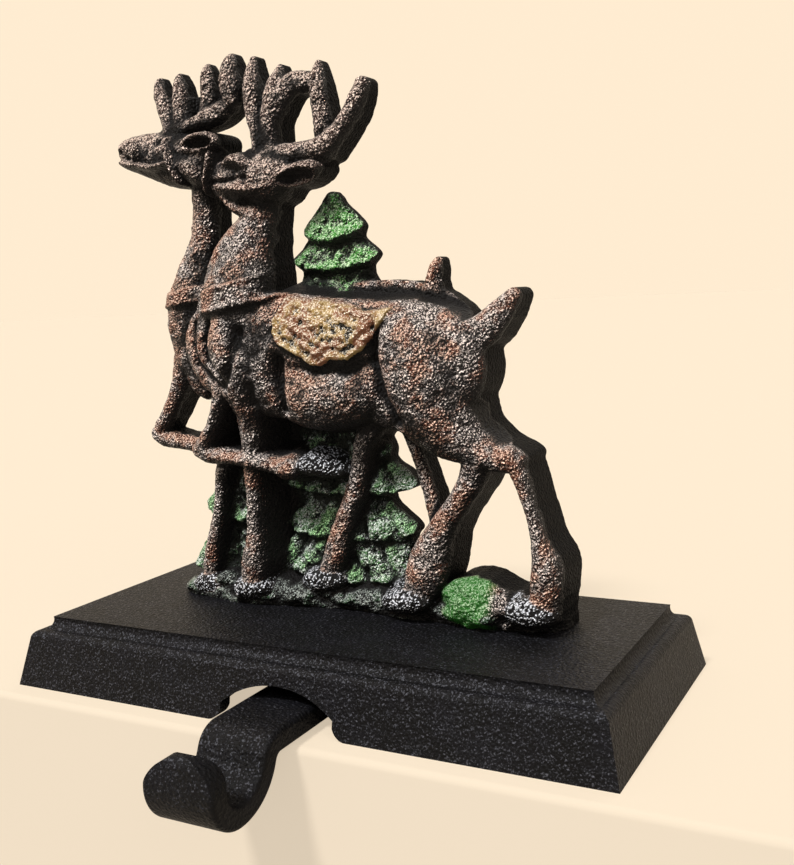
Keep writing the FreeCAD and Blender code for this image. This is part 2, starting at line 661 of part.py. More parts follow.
def dressing():
    # The saddle blanket and the two collars, each as thick as its name above says.
    far = figure_back
    near = front_crease - 20
    trunk = limb(front_torso, front_crease, far, blanket_thickness)
    loin = limb(haunch, front_crease, far, blanket_thickness)
    blanket = plate(blanket_outline, near, far).common(trunk.fuse(loin))
    throat = limb(front_neck, front_crease, far, collar_thickness)
    chest = limb(front_torso, front_crease, far, collar_thickness)
    front_collar = plate(front_collar_outline, near, far).common(throat.fuse(chest))
    nape = limb(rear_neck, rear_crease, far, collar_thickness)
    rear_collar = plate(rear_collar_outline, near, far).common(nape)
    return [blanket, front_collar, rear_collar]


def ear(leaf, crease, back, hollow):
    # The hollow is a limb turned round: it bulges towards the back, so it cuts a bowl in the leaf.
    bowl = [(x, z, width, -ear_hollow_depth) for x, z, width in hollow]
    return limb(leaf, crease, back).cut(limb(bowl, crease - ear_rim, crease - ear_reach))


def casting_space():
    # What the casting may fill: open in front, closed below by its foot and behind by a flat back that
    # leans forward, because the antlers are thinner than the legs.
    reach = 2 * plinth_length
    outline = [
        (-reach, figure_foot), (figure_back, figure_foot), (antler_back, figure_top), (antler_back, reach),
        (-reach, reach),
    ]
    face = Part.Face(Part.makePolygon([V(-reach, y, z) for y, z in outline + outline[:1]]))
    return face.extrude(V(2 * reach, 0, 0))


def make_figure():
    ears = [
        ear(front_ear, front_ear_crease, front_ear_back, front_ear_hollow),
        ear(rear_ear, rear_ear_crease, rear_ear_back, rear_ear_hollow),
    ]
    solids = figure_pieces() + dressing() + ears
    body = solids[0].multiFuse(solids[1:])
    body = body.common(casting_space())
    body.translate(V(0, 0, plinth_height - figure_foot))
    for place in figure_screw_places:
        hole_end = plinth_height + figure_screw_bite + thread_gap
        body = body.cut(cylinder(screw_radius + thread_gap, plinth_height - 1, hole_end, place))
    return body


def write(name, shape):
    shape.exportStep(os.path.join("parts", name + ".step"))
    state = "valid" if shape.isValid() else "not valid"
    print(name, state, len(shape.Solids), "solids", round(shape.Volume), "mm3")


os.makedirs("parts", exist_ok=True)
write("plinth", make_plinth())
write("hook", make_hook())
write("figure", make_figure())
write("figure_screws", make_figure_screws())
write("hook_screws", make_hook_screws())
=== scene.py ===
import math

import bmesh
import bpy
import numpy as np
from mathutils import Matrix, Vector


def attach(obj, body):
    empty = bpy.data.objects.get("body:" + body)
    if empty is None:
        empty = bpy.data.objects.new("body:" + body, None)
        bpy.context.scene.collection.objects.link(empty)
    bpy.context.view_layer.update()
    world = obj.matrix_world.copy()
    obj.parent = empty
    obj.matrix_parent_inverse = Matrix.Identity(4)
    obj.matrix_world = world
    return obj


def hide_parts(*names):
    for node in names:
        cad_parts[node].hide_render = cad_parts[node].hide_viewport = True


# Looks of the mantel stocking holder: a cast relief of two deer before trees, worked out as one height
# field with a flat back, over the moulded plinth and the strap hook, all in sand-cast iron. Shapes are
# written in millimetres in the part's own frame and put into meshes in metres.

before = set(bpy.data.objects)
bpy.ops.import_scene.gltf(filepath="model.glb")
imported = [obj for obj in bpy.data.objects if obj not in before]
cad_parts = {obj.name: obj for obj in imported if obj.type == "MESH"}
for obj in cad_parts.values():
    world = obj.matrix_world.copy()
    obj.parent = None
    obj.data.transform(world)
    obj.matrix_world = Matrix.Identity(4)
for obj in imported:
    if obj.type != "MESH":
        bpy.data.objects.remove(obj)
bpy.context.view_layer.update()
MM = 0.001

# Photograph
photo_width, photo_height = 794, 865
eye = (120.8, -200.6, 87.1)
azimuth, elevation, roll = 28.43, 13.53, -2.7
focal_pixels = 1054.4
centre_column, centre_row = 397.0, 545.0

# Relief, a height field on a square grid. The blends are sharpnesses: the higher, the crisper the join.
cell = 0.34
wall_rows = 7
back_foot, back_top = 9.5, 6.0
foot_plane, top_plane = 15.7, 139.7
field_left, field_right = -59.5, 53.0
field_low, field_high = 15.0, 140.6
draft = 4.2
limb_margin = 5.0
least_thickness, least_wall = 1.8, 1.3
least_share = 0.12
body_blend, deer_blend, tree_blend, join_blend = 1.9, 3.15, 3.0, 4.5
outline_blend = 5.0

# Deer, trees and ground. A station is (x, z, half width, swell), with the crease's y as a fifth value
# where it leaves the limb's own.
front_crease = -3.0
front_head_crease = 0.5
front_antler_crease = 1.0
rear_crease = 2.5
tree_crease = 5.8
mound_crease = -0.8

front_body = [
    [
        (-31.6, 77.5, 5, 2.2), (-29, 77, 9.6, 4.4), (-24.5, 76, 12.8, 6), (-15, 74.5, 13.8, 6.5),
        (0, 73.3, 13.2, 6), (10, 73, 12.3, 5.2), (18, 71.5, 13.6, 5.8), (24, 71.3, 11.6, 5),
        (28.6, 72, 7.2, 2),
    ],
    [
        (-17.3, 109, 4.3, 4.8, 1), (-18.2, 104, 4.3, 5, 1), (-19.7, 100.5, 5.3, 5.5, 0.5),
        (-21.6, 96.5, 6.9, 6, -0.5), (-22.9, 92, 8.5, 6.6, -1.5), (-23.3, 87, 9, 7, -2.5),
        (-23, 82, 9.2, 7, -2.8),
    ],
    [
        (30, 76, 4.2, 2.8, -2.5), (34.8, 78.4, 3.5, 2.5, -1.5), (38.6, 82.2, 2.7, 2, -0.5),
        (40.8, 85.2, 1.6, 1.4, 0.6),
    ],
    [
        (22, 66, 9.8, 6), (26.5, 60, 7.2, 5.5), (31.6, 55.8, 4.4, 4), (36.6, 53.2, 2.9, 3),
        (41, 52.6, 2.6, 2.8), (42.8, 52.8, 1.6, 1.6),
    ],
    [
        (41, 53.4, 2, 2.4), (42.9, 50, 1.8, 2.7), (44.6, 45, 1.5, 2.3), (46.1, 40, 1.5, 2.3),
        (47.2, 35, 2, 2.5), (48.4, 30.5, 3.2, 3), (48.3, 26.5, 3.5, 2.8), (47.8, 22.5, 3.2, 2.4),
        (46.8, 20, 2.2, 1.4),
    ],
    [
        (-21.5, 66, 4.5, 5), (-22.2, 58, 3, 3.6), (-22.5, 51, 2.6, 3.4), (-22.8, 45, 2.1, 2.7),
        (-23, 40, 2, 2.6), (-23.4, 35, 2.1, 2.6), (-23.8, 30, 2.7, 2.9), (-24.5, 26, 3.4, 3),
        (-25.4, 22, 3, 2.2), (-25.8, 20, 2.2, 1.4),
    ],
    [
        (-26.5, 71, 4.2, 5.5), (-29.3, 63.8, 2.4, 4.6), (-32.5, 58.2, 1.9, 4), (-35.4, 54.3, 2.3, 3.8),
        (-37.1, 52.6, 1.8, 2.6),
    ],
    [
        (-38, 53, 1.6, 2.4), (-34.5, 51.9, 2.3, 3.7), (-28, 51.4, 1.9, 3.9), (-21, 50.8, 2.1, 4.4),
        (-15.6, 49.7, 2, 4), (-12, 49.3, 2.9, 4.8), (-10.4, 49.3, 2.3, 4),
    ],
    [
        (33.5, 53, 3.6, 3.5, -2), (32, 48.3, 3, 3.2, -2), (29.7, 44.5, 2.7, 3, -2), (27.2, 41, 2.7, 3, -2),
        (24.2, 36.5, 3.2, 3.1, -2), (22.1, 32, 4.3, 3.3, -2), (20.5, 27.5, 4.9, 3.4, -2),
        (18.4, 22.5, 3.7, 2.6, -2), (16.6, 20, 2.2, 1.4, -2),
    ],
    [
        (-24.5, 84, 3, 5.5), (-24, 79, 6.5, 8.2), (-23, 73, 7.2, 8.6), (-22, 67, 5.5, 7),
        (-21.6, 62, 3.4, 4.6),
    ],
    [
        (16.5, 80.5, 3.4, 5), (18.5, 76.5, 7.4, 7.6), (21, 70.5, 9.2, 8.6), (23.5, 64.5, 8, 7.6),
        (27, 59, 4.6, 5.5),
    ],
    [(-10, 66, 6, 6.6), (-3, 65.5, 7.5, 7.6), (5, 66, 7, 7.4), (10, 67, 5.5, 6)],
]
front_head = [
    [
        (-29.2, 113.9, 1.3, 1.2, 1.5), (-27.6, 113.2, 3.8, 3), (-24.2, 112.2, 5.2, 4.4),
        (-20, 111.8, 5.8, 5.2), (-15, 111.8, 5.6, 5.4), (-11.6, 112.6, 4, 4.5), (-9.6, 112.9, 2.7, 3),
    ],
    [(-24.5, 115.8, 1, 4.4, 0.6), (-21, 116.2, 1.7, 5.8, 0), (-18, 114.9, 1.4, 5.6, 0.4)],
    [
        (-26.5, 111.2, 1, 4.6, 0.6), (-22, 110.3, 1.5, 5.9, 0.4), (-17, 109.8, 1.5, 6.2, 0.4),
        (-13.6, 110, 1.1, 5.2, 0.6),
    ],
    [(-26, 108.6, 1.3, 3.6, 1.2), (-23, 106.6, 1.8, 4.6, 1), (-20.5, 105.6, 1.9, 4.8, 1)],
]
front_antler = [
    [
        (-19.5, 116.6, 2.2, 2.8), (-13, 116.4, 2.6, 3), (-7, 116.4, 2.5, 3), (-1, 117.2, 2.5, 2.8, 1),
        (2.2, 119.5, 2.2, 2.6, 1.2), (5.3, 122.9, 2, 2.4, 1.6), (7.2, 126.6, 1.9, 2.1, 2),
        (7.8, 128.7, 1.6, 1.8, 2.6),
    ],
    [
        (-17, 116.6, 1.7, 2.9), (-17.2, 121, 1.6, 2.9), (-18.2, 127, 2.2, 2.7, 1.2),
        (-18.8, 132.6, 1.9, 2.2, 1.8), (-18.7, 136.7, 0.8, 1, 3),
    ],
    [
        (-14.4, 117, 2.5, 2.8), (-14, 124.5, 2.3, 2.7), (-13, 130, 2, 2.4, 1.5),
        (-12.4, 132.6, 1.4, 1.7, 2.3), (-12.2, 134.4, 0.8, 1, 3.2),
    ],
    [
        (-14, 124, 2.2, 2.2), (-11.2, 128.4, 2.6, 2.3, 1.5), (-8.6, 130.6, 2.5, 2.1, 2),
        (-5.4, 130.6, 2.2, 1.9, 2.2), (-3, 130.4, 1.4, 1.5, 2.4),
    ],
    [
        (-1, 117.4, 3, 2.7, 2), (-1.6, 122.6, 2.3, 2.4, 2), (-2.3, 128.2, 2, 2.2, 2),
        (-2.8, 132, 1.4, 1.6, 2.8), (-2.9, 134.1, 0.8, 1, 3.4),
    ],
]
rear_body = [
    [
        (-33.6, 114, 3.6, 3.5), (-34, 108.5, 3.3, 3.8), (-34.4, 104, 3.5, 4), (-34.8, 100, 3.9, 4.4),
        (-36.4, 96, 4.5, 4.8), (-38.4, 92, 5, 5.2), (-40.2, 87.5, 5.6, 5.6), (-41.2, 82, 6, 5.6),
        (-40.9, 77.5, 5.5, 5), (-40, 73, 4.7, 4.4), (-39.3, 68.5, 3.6, 3.2), (-38.8, 66.3, 2.4, 2),
    ],
    [
        (-33, 98, 2.4, 2.2, 3), (-34.6, 92.5, 4, 3.6), (-36, 86.5, 5.2, 4.6), (-36.2, 80, 5.2, 4.6),
        (-34.8, 73.5, 4.6, 4), (-33, 67, 3, 3),
    ],
    [
        (-43.7, 73.5, 3.5, 3.2), (-46.4, 67, 2.4, 2.8), (-49.6, 61.8, 2, 2.5), (-52.9, 57.6, 2, 2.4),
        (-54.7, 55.2, 1.6, 1.8),
    ],
    [
        (-55.4, 55.6, 1.5, 1.6), (-52.6, 54.3, 2.1, 2.3), (-47, 53.5, 1.9, 2.3), (-41, 52.6, 1.9, 2.3),
        (-37, 50.8, 1.9, 2.1), (-34.6, 47.2, 1.8, 1.9),
    ],
    [
        (-32.3, 50.5, 2.3, 2.3, 0.5), (-34.2, 47, 1.9, 2.3, 0.5), (-35.3, 42.3, 1.6, 2.1, 0.5),
        (-36.2, 37.3, 1.6, 2.1, 0.5), (-37.8, 32.3, 1.8, 2.1, 0.5), (-39.4, 27, 2.1, 2.3, 0.5),
        (-40.4, 22, 2.3, 2.1, 0.5), (-40.6, 19.5, 1.8, 1.4, 0.5),
    ],
    [
        (8.6, 61.5, 3.9, 3, 1), (5, 55, 2.4, 3, 1), (3.6, 49, 2.3, 2.9, 1), (2, 43.5, 2.5, 2.8, 1),
        (-0.3, 38.3, 2.6, 2.8, 1), (-2.6, 33, 2.9, 2.9, 1), (-4.2, 28.5, 3.1, 3, 1),
        (-6, 24.5, 2.8, 2.4, 1), (-6.6, 22.5, 2, 1.4, 1),
    ],
    [
        (-32, 76, 11, 1.2, 3), (-5, 76.3, 12.2, 1.5, 3), (10, 76.8, 12.7, 1.5, 3), (19, 75.9, 12.3, 1.5, 3),
        (24.4, 74.4, 10, 1.5, 3), (27.4, 71.4, 7.6, 1, 3), (27.9, 66, 6, 1, 3), (31.8, 59.4, 3.6, 1, 3),
        (36.4, 55.6, 2.5, 1, 3), (40, 53.6, 2.2, 1, 3),
    ],
    [(21.9, 84.6, 3, 2, 3), (22.3, 88.8, 1.9, 1.8, 3), (22.8, 91.4, 1.4, 1.4, 3), (23, 92.6, 1, 1, 3.6)],
    [
        (15.3, 58, 2.3, 1.6, 3), (16.9, 52.3, 1.5, 1.5, 3), (18.1, 48.3, 1.5, 1.4, 3),
        (19.4, 44, 1.6, 1.4, 3), (20.6, 39.5, 1.8, 1.5, 3), (21.4, 35, 1.8, 1.5, 3),
    ],
]
rear_head = [
    [
        (-56.6, 121.8, 1.2, 1, 3), (-54.8, 121.4, 2.9, 2.5, 2), (-51, 120.5, 4.3, 3.8, 2),
        (-46, 119.5, 5.3, 4.6, 2), (-40, 118.2, 6.1, 5.4, 2), (-34.6, 117.6, 5.8, 5.8, 2),
        (-31, 118, 4.6, 5, 2), (-29.6, 118.4, 3.4, 3, 2),
    ],
    [(-55.4, 119.2, 1.2, 2.8, 1.2), (-53, 118.4, 1.5, 3.6, 1), (-50.2, 117.9, 1.3, 3.8, 0.8)],
    [(-55.4, 122.2, 1.1, 2.4, 1.6), (-52.6, 122.4, 1.5, 3, 1.4)],
    [(-49, 117.6, 0.9, 5.2, 0.4), (-44, 116.6, 1, 5.8, 0.2), (-39, 117, 0.9, 6.2, 0.2)],
    [(-49.2, 122.6, 0.8, 3.6, 0.2), (-48.8, 120.4, 0.9, 4.8, 0), (-48.9, 117.8, 0.8, 4.4, 0)],
    [
        (-40.2, 122.2, 0.9, 4.8, 0.2), (-38.6, 119, 1, 6.2, 0), (-37.6, 115.4, 1, 5.8, 0),
        (-36.6, 112.8, 0.9, 4.6, 0),
    ],
    [
        (-28.4, 118, 1, 4.2, 0.2), (-28.8, 115.4, 1.1, 4.6, 0), (-30, 112.2, 1, 4.2, 0.2),
        (-30.4, 110.2, 0.8, 3.4, 0.6),
    ],
    [(-36.2, 116.6, 2, 5, 0.6), (-33.4, 115, 3, 5.4, 0.4), (-31.4, 113.2, 1.6, 4.4, 0.6)],
]
rear_antler = [
    [
        (-44.4, 124.3, 1.3, 1.6, 3.2), (-42, 124.3, 1.9, 2.6), (-39, 124.4, 2, 2.8), (-35, 125.3, 1.9, 2.6),
        (-31, 126.2, 2.2, 2.5), (-27, 127.6, 2.4, 2.4), (-24.5, 129, 1.8, 2),
    ],
    [
        (-41.8, 124.8, 1.8, 2.4), (-43.4, 129.4, 2, 2.2), (-44.9, 133.4, 1.6, 1.7, 2.8),
        (-45.3, 135.8, 0.8, 1, 3.6),
    ],
    [
        (-38.6, 125, 2.6, 2.5), (-38.8, 130.6, 2.2, 2.2), (-39.2, 134.2, 1.5, 1.7, 2.8),
        (-39.4, 136, 0.8, 1, 3.6),
    ],
    [
        (-31.6, 127, 2.6, 2, 3.2), (-31.5, 131.8, 2.2, 2, 3.2), (-31.6, 135.6, 1.4, 1.6, 3.2),
        (-31.8, 137.1, 0.8, 1, 3.8),
    ],
    [
        (-24, 129.4, 2, 2.6, 1.8), (-24.4, 132, 2.6, 2.7, 1.8), (-24.8, 135.8, 1.9, 2, 2.2),
        (-24.7, 137.9, 1, 1.1, 3.2),
    ],
]
front_hooves = [
    [(39.6, 20, 1.6, 1.6, -2.4), (42.5, 20.6, 2.9, 3), (46.5, 20.9, 3.3, 3.4), (48.6, 21, 2.4, 2.4)],
    [(10.4, 19.9, 1.4, 1.6, -1.5), (12.8, 20.2, 2.6, 2.6), (17, 20.6, 3, 3.2), (19.4, 21, 2.3, 2.2)],
    [(-30, 19.3, 1.4, 1.6, -2), (-28.5, 19.5, 2.4, 2.4), (-25, 19.8, 2.8, 3), (-22.4, 20, 2.1, 2)],
    [(-8, 50, 2.1, 3.6), (-5, 50, 2.4, 3.9), (-2, 49.3, 1.9, 2.8), (0.2, 48.8, 1.1, 1.4)],
]
rear_hooves = [
    [
        (-12.2, 21.9, 1.5, 1.4, 1), (-10.2, 22.2, 2.4, 2.4, 0), (-6.5, 22.6, 2.8, 2.9, 0),
        (-4, 22.8, 2.2, 2.2, 0),
    ],
    [
        (-44, 18.5, 1.4, 1.4, 0.5), (-42.5, 18.8, 2.3, 2.2, -0.5), (-39.5, 19.1, 2.6, 2.6, -0.5),
        (-37.4, 19.3, 1.9, 1.9, -0.5),
    ],
]
mound = [
    [(26.6, 20.2, 3.6, 2.6), (29, 21, 5.4, 4), (33, 20.8, 5.6, 4.2), (37, 19.6, 4.4, 3.2), (40, 19, 3, 2)],
    [(28.5, 22.6, 2.4, 2), (33, 22.6, 2.8, 2.2), (37.5, 21.8, 2.4, 1.8)],
]
front_ear = [
    [
        (-13.6, 110.8, 1.4, 2.2), (-10.6, 111.6, 2.2, 3.2), (-7, 112.2, 2.5, 3.6), (-4.2, 112.8, 2.1, 3),
        (-2.4, 113.2, 1.2, 1.6),
    ],
]
rear_ear = [
    [
        (-36.2, 119.6, 1.1, 1.6), (-33.4, 120.4, 2.2, 2.8), (-30.4, 120.7, 2.4, 3), (-28, 120.6, 1.8, 2.2),
        (-27, 120.4, 1, 1.2),
    ],
]
front_ear_crease, rear_ear_crease = -0.6, -2.0

# Webs of metal, as outlines with the y of their flat fronts.
antler_webs = [
    (
        [
            (-43, 124.5), (-43.6, 130.5), (-41.4, 132.2), (-38, 131.6), (-35.2, 131.6), (-32, 132.6),
            (-28.6, 132.2), (-25, 133), (-24, 129), (-33, 125),
        ],
        4.5,
    ),
    (
        [
            (-18, 116.5), (-18.6, 131), (-18.2, 133.6), (-15.8, 130.6), (-14, 131.2), (-11.6, 130),
            (-12.4, 126), (-13, 117),
        ],
        3.2,
    ),
]
leg_webs = [
    ([(-35, 48), (-35, 54), (-29, 66), (-10, 66), (-10, 48)], 5.6),
    ([(-33, 17), (-33, 50), (-10, 52), (-10, 17)], 6.4),
]

# Trees, as (top z, tip z, drooping middle z, top half width, tip half width) for each tier.
tall_tree_x, short_tree_x = -2.4, -33.0
tree_swell = 4.8
tall_tree = [
    (108.8, 101.3, 98.3, 1.4, 8.1), (100, 95.4, 92.2, 5.4, 11.5), (94, 88, 86, 8, 10.6),
    (62, 52.6, 50, 8, 12.4), (53.5, 45.9, 42.6, 8, 19.8), (45.8, 35, 32, 7.5, 18.2), (37, 26, 22, 13, 21.4),
]
short_tree = [(52, 37.8, 34.8, 3, 11.8), (40.5, 23, 19, 6.5, 16.6)]
tier_flare, tier_slope = 1.4, 0.8
bulge_least, bulge_power = 0.3, 1.5
lobe_least, lobe_gain = 0.86, 0.24
fan_pitch, fan_twist, fan_sway = 0.62, 0.5, 1.4
tree_softening, tree_rounding = 0.5, 1.1
bough_rows, bough_top, bough_drop, bough_spacing = 7, 57.0, 5.6, 7.2
bough_places = range(-4, 4)
bough_half_size = (4.6, 3.1)
bough_turn, bough_fan = -60.0, -4.0
bough_stagger, bough_depth = 0.1, 1.7
bough_line, bough_fade = 62.0, 6.0

# Ground, as (x, front y, top z).
ground = [
    (-53, 6, 16), (-51.5, 4, 17.6), (-48, 0.5, 19.2), (-43, -1.6, 20.6), (-37, -2.2, 21.6),
    (-30, -3.6, 21.2), (-23, -3.4, 22.4), (-15, -1.4, 21.8), (-8, -0.6, 23.4), (-1, 0.4, 22.2),
    (6, -0.4, 23), (13.5, -2, 21.6), (20, -1.2, 23.4), (27, -2.6, 24), (35, -2.8, 23.9), (43, -1.8, 23.5),
    (48.5, 0, 24), (50.6, 3, 22.6), (51.2, 6, 16),
]
ground_bulge, ground_lean = 0.7, 2.4

# Harness, as outlines on the front, with the borders' places as depths in from the blanket's edge.
blanket = [
    (-9.4, 88.6), (-9.1, 85.6), (-10.6, 82.4), (-10.4, 79.2), (-8.9, 77), (-5.6, 75.2), (-3, 74),
    (-1.2, 72.4), (1.3, 72.3), (3.8, 73.8), (7.5, 73.4), (11, 75.6), (13, 78.2), (16, 81.4), (16.8, 84),
    (13.4, 83.5), (10.3, 83.3), (7.2, 84.5), (1.6, 86.2), (-5, 88.3),
]
front_collar = [
    (-31.6, 85), (-30.4, 88.2), (-27.4, 89.6), (-22.9, 90.2), (-17.7, 91.4), (-13.6, 92.8), (-9.6, 93.4),
    (-8.4, 91.2), (-8.8, 88), (-13.4, 86.4), (-18.4, 85.4), (-22.4, 84.6), (-28.2, 84), (-31, 84.2),
]
rear_collar = [
    (-49.8, 85.8), (-48.8, 89.2), (-42, 89.2), (-36, 90.4), (-32, 90.6), (-31, 87.2), (-40, 86.2),
    (-46, 85.4),
]
blanket_thickness, collar_thickness, rear_collar_share = 1.2, 1.5, 0.8
harness_edge = 0.5
border_insets, border_width, border_height = (0.7, 2.9, 4.9), 0.5, 0.6
hem_inset, hem_height = 0.6, 0.35

# Carving in the deer, as (line, width, depth).
carving = [
    ([(-56.2, 119.6), (-53, 119.4), (-50.2, 119)], 0.45, 0.9),
    ([(-33.9, 82.1), (-33.9, 77.2), (-33.3, 73), (-29.4, 70.2), (-25.7, 67.8)], 0.9, 1.5),
    ([(-28.1, 82.1), (-29.4, 78.3), (-29.4, 74.1), (-25.5, 70.8), (-24.5, 68.3)], 0.9, 1.6),
    ([(-20.1, 80), (-20.7, 76.3), (-21.4, 73.3), (-23.2, 69.6)], 1.1, 1.5),
    ([(-20.5, 80.4), (-20, 77)], 1.6, 0.8),
    ([(-10.6, 73.4), (-11, 70.6), (-10.8, 67.1), (-10.4, 63)], 1.7, 3.4),
    ([(-18.4, 68), (-18.6, 64.4)], 1.2, 1.2),
    ([(-8, 72), (-2.7, 72.2), (6.1, 71.4), (12.7, 73.2)], 1.1, 1.0),
    ([(13.4, 79.4), (13.6, 73.6), (14.8, 67), (17.5, 61)], 1.4, 2.4),
    ([(28, 66), (31, 61), (36, 57)], 1.0, 0.6),
    ([(-24, 68), (-23.4, 60), (-24.2, 54)], 0.6, 0.5),
    ([(-20, 107.6), (-16.4, 107), (-14.2, 105)], 1.2, 1.3),
    ([(-28.5, 112.3), (-24, 112), (-18, 112.4)], 0.5, 0.9),
    ([(-22.5, 101), (-24.5, 97), (-28.5, 93.5)], 1.6, 0.6),
    ([(-36, 108), (-36.4, 102), (-39, 96)], 0.9, 0.35),
    ([(-5, 118.8), (-1.4, 119.8), (1.8, 122.4), (3.6, 126.4)], 0.5, 0.5),
    ([(-43.5, 121.8), (-39.4, 122.4), (-35.6, 123.2)], 0.7, 0.9),
]

# Ears and nostril, as (x, z, half length, half width, turn, depth) of each hollow.
hollows = [
    (-6.6, 111.6, 4.2, 1.6, 8, 3.6), (-30.8, 120.6, 3.9, 1.3, 2, 3.2), (-55.2, 121.2, 0.7, 0.5, 20, 0.8),
]

# Noise, as (scale, seed, height) of each layer.
ground_top_noise = [(2.2, 11, 0.35)]
ground_noise = [(3.4, 12, 0.75), (1.4, 13, 0.35)]
weave_noise = [(0.9, 21, 0.3)]
needle_noise = [(1.6, 31, 0.35), (0.9, 32, 0.22)]
mound_noise = [(3.0, 33, 0.5), (1.3, 34, 0.25)]
casting_noise = [(0.75, 41, 0.1), (1.7, 42, 0.12)]
edge_noise = [(1.0, 51, 0.045), (2.4, 52, 0.06)]

# Painted light: the direction that glints and shade are painted from. Dry brush: what each quality of a
# place adds to its reach, with painted shade where it faces down and painted light where it faces up.
painted_light_direction = Vector((-0.3, -0.66, 0.69)).normalized()
slope_patch, near_patch, wide_patch = 0.7, 1.5, 6.0
wide_range = (-12, 9)
reach_level, reach_near, reach_wide, shade_by_facing_up, reach_steep = 0.44, 0.5, 0.07, 0.2, 0.2
steep_least, steep_span = 0.8, 2.5

# Where paints change: by depth between layers, at an x for the turf, and at a z for the rest.
paint_edge = 0.8
turf_end, turf_fade = 36.0, 3.0
antler_low, antler_fade = 108.0, 16.0
foot_high, foot_fade = 64.0, 24.0

# Sand grain and paint. Tips are the bright paint on the flecks, with painted glints where they face the
# light.
grain_scale, fleck_edge = 1500.0, 13.0
casting_grain_size, casting_grain_depth, casting_speckle_level = 0.95, 0.8, 0.468
enamel = (0.008, 0.0075, 0.0078)
wall_enamel = (0.005, 0.005, 0.0053)
back_enamel = (0.022, 0.022, 0.024)
bronze_stain = (0.03, 0.021, 0.018)
rust_stain = (0.15, 0.042, 0.018)
antler_stain = (0.05, 0.023, 0.016)
bronze_tips_and_glints = (1.0, 0.87, 0.79)
copper_tips_and_glints = (1.0, 0.69, 0.53)
antler_tips_and_glints = (1.0, 0.8, 0.68)
pine_enamel = (0.01, 0.012, 0.01)
top_needles = (0.075, 0.33, 0.045)
foot_needles = (0.07, 0.19, 0.055)
top_needle_tips_and_glints = (0.8, 1.0, 0.66)
grey_needle_tips_and_glints = (0.9, 0.95, 0.88)
green_needle_tips_and_glints = (0.6, 0.95, 0.5)
bare_earth = (0.012, 0.012, 0.012)
moss = (0.02, 0.07, 0.022)
earth_tips_and_glints = (0.42, 0.46, 0.42)
turf = (0.03, 0.17, 0.02)
turf_tips_and_glints = (0.42, 0.6, 0.36)
gold = (0.5, 0.32, 0.11)
red_brown = (0.3, 0.12, 0.06)
cloth_tips_and_glints = (1.0, 0.88, 0.7)
silver = (0.95, 0.96, 1.0)

# Shelf and backdrop
shelf_front = -40.6
shelf_reach, shelf_drop, shelf_nose = 6000.0, 1500.0, 1.6
backdrop = (1.0, 0.84, 0.64, 1)
shelf_colour = tuple(0.76 * c for c in backdrop[:3]) + (1,)


# Height field

columns = np.arange(field_left, field_right, cell)
rows = np.arange(field_low, field_high, cell)
X, Z = np.meshgrid(columns, rows, indexing="ij")
FAR = 60.0
TINY = 1e-12


def between(a, b, c, d, t):
    """Catmull-Rom curve: half of 2b + (c - a)t + (2a - 5b + 4c - d)t^2 + (3b - a - 3c + d)t^3."""
    return 0.5 * (
        2 * b + (c - a) * t + (2 * a - 5 * b + 4 * c - d) * t ** 2 + (3 * b - a - 3 * c + d) * t ** 3
    )


def thread(stations, crease, steps=4):
    """Stations joined by a Catmull-Rom curve, as an array with a row for each point along it."""
    full = np.array([s if len(s) > 4 else s + (crease,) for s in stations], float)
    full = np.vstack([full[:1], full, full[-1:]])
    parts = [between(full[:-3], full[1:-2], full[2:-1], full[3:], k / steps) for k in range(steps)]
    return np.vstack([np.stack(parts, axis=1).reshape(-1, 5), full[-1:]])


def limb(stations, crease):
    """Front and outline of one limb over the whole field. On the nearest run, q is the distance from the
    middle line over the half width: inside, the front is crease - swell * sqrt(1 - q^2), and outside it
    falls back at the draft's slope. The outline is that distance less the half width."""
    front = np.full(X.shape, FAR)
    outline = np.full(X.shape, FAR)
    points = thread(stations, crease)
    for a, b in zip(points, points[1:]):
        reach = max(a[2], b[2]) + limb_margin
        i0, i1 = np.searchsorted(columns, [min(a[0], b[0]) - reach, max(a[0], b[0]) + reach])
        j0, j1 = np.searchsorted(rows, [min(a[1], b[1]) - reach, max(a[1], b[1]) + reach])
        x, z = X[i0:i1, j0:j1], Z[i0:i1, j0:j1]
        run = b[:2] - a[:2]
        t = np.clip(((x - a[0]) * run[0] + (z - a[1]) * run[1]) / max(run @ run, TINY), 0, 1)
        distance = np.hypot(x - a[0] - t * run[0], z - a[1] - t * run[1])
        width, swell, crease_y = (a[k] + t * (b[k] - a[k]) for k in (2, 3, 4))
        inside = np.clip(1 - (distance / width) ** 2, 0, 1)
        height = crease_y - swell * np.sqrt(inside) + np.maximum(distance - width, 0) * draft
        front[i0:i1, j0:j1] = np.minimum(front[i0:i1, j0:j1], height)
        outline[i0:i1, j0:j1] = np.minimum(outline[i0:i1, j0:j1], distance - width)
    return front, outline


def back_at(z):
    """The flat back, which leans forward evenly from the foot to the tips of the antlers."""
    return back_foot + (back_top - back_foot) * (z - foot_plane) / (top_plane - foot_plane)


def merge(fields, sharpness):
    """Smooth minimum: minus the logarithm of the summed exponentials of the fields, over the sharpness."""
    lowest = np.minimum.reduce(fields)
    total = sum(np.exp(-sharpness * (f - lowest)) for f in fields)
    return lowest - np.log(total) / sharpness


def fronts(made):
    return [front for front, _ in made]


def lines(made):
    return [outline for _, outline in made]


def joined(made, sharpness):
    """Pairs of front and outline run into one, each by its own smooth minimum."""
    return merge(fronts(made), sharpness), merge(lines(made), outline_blend)


def limbs(groups, crease):
    return joined([limb(stations, crease) for stations in groups], body_blend)


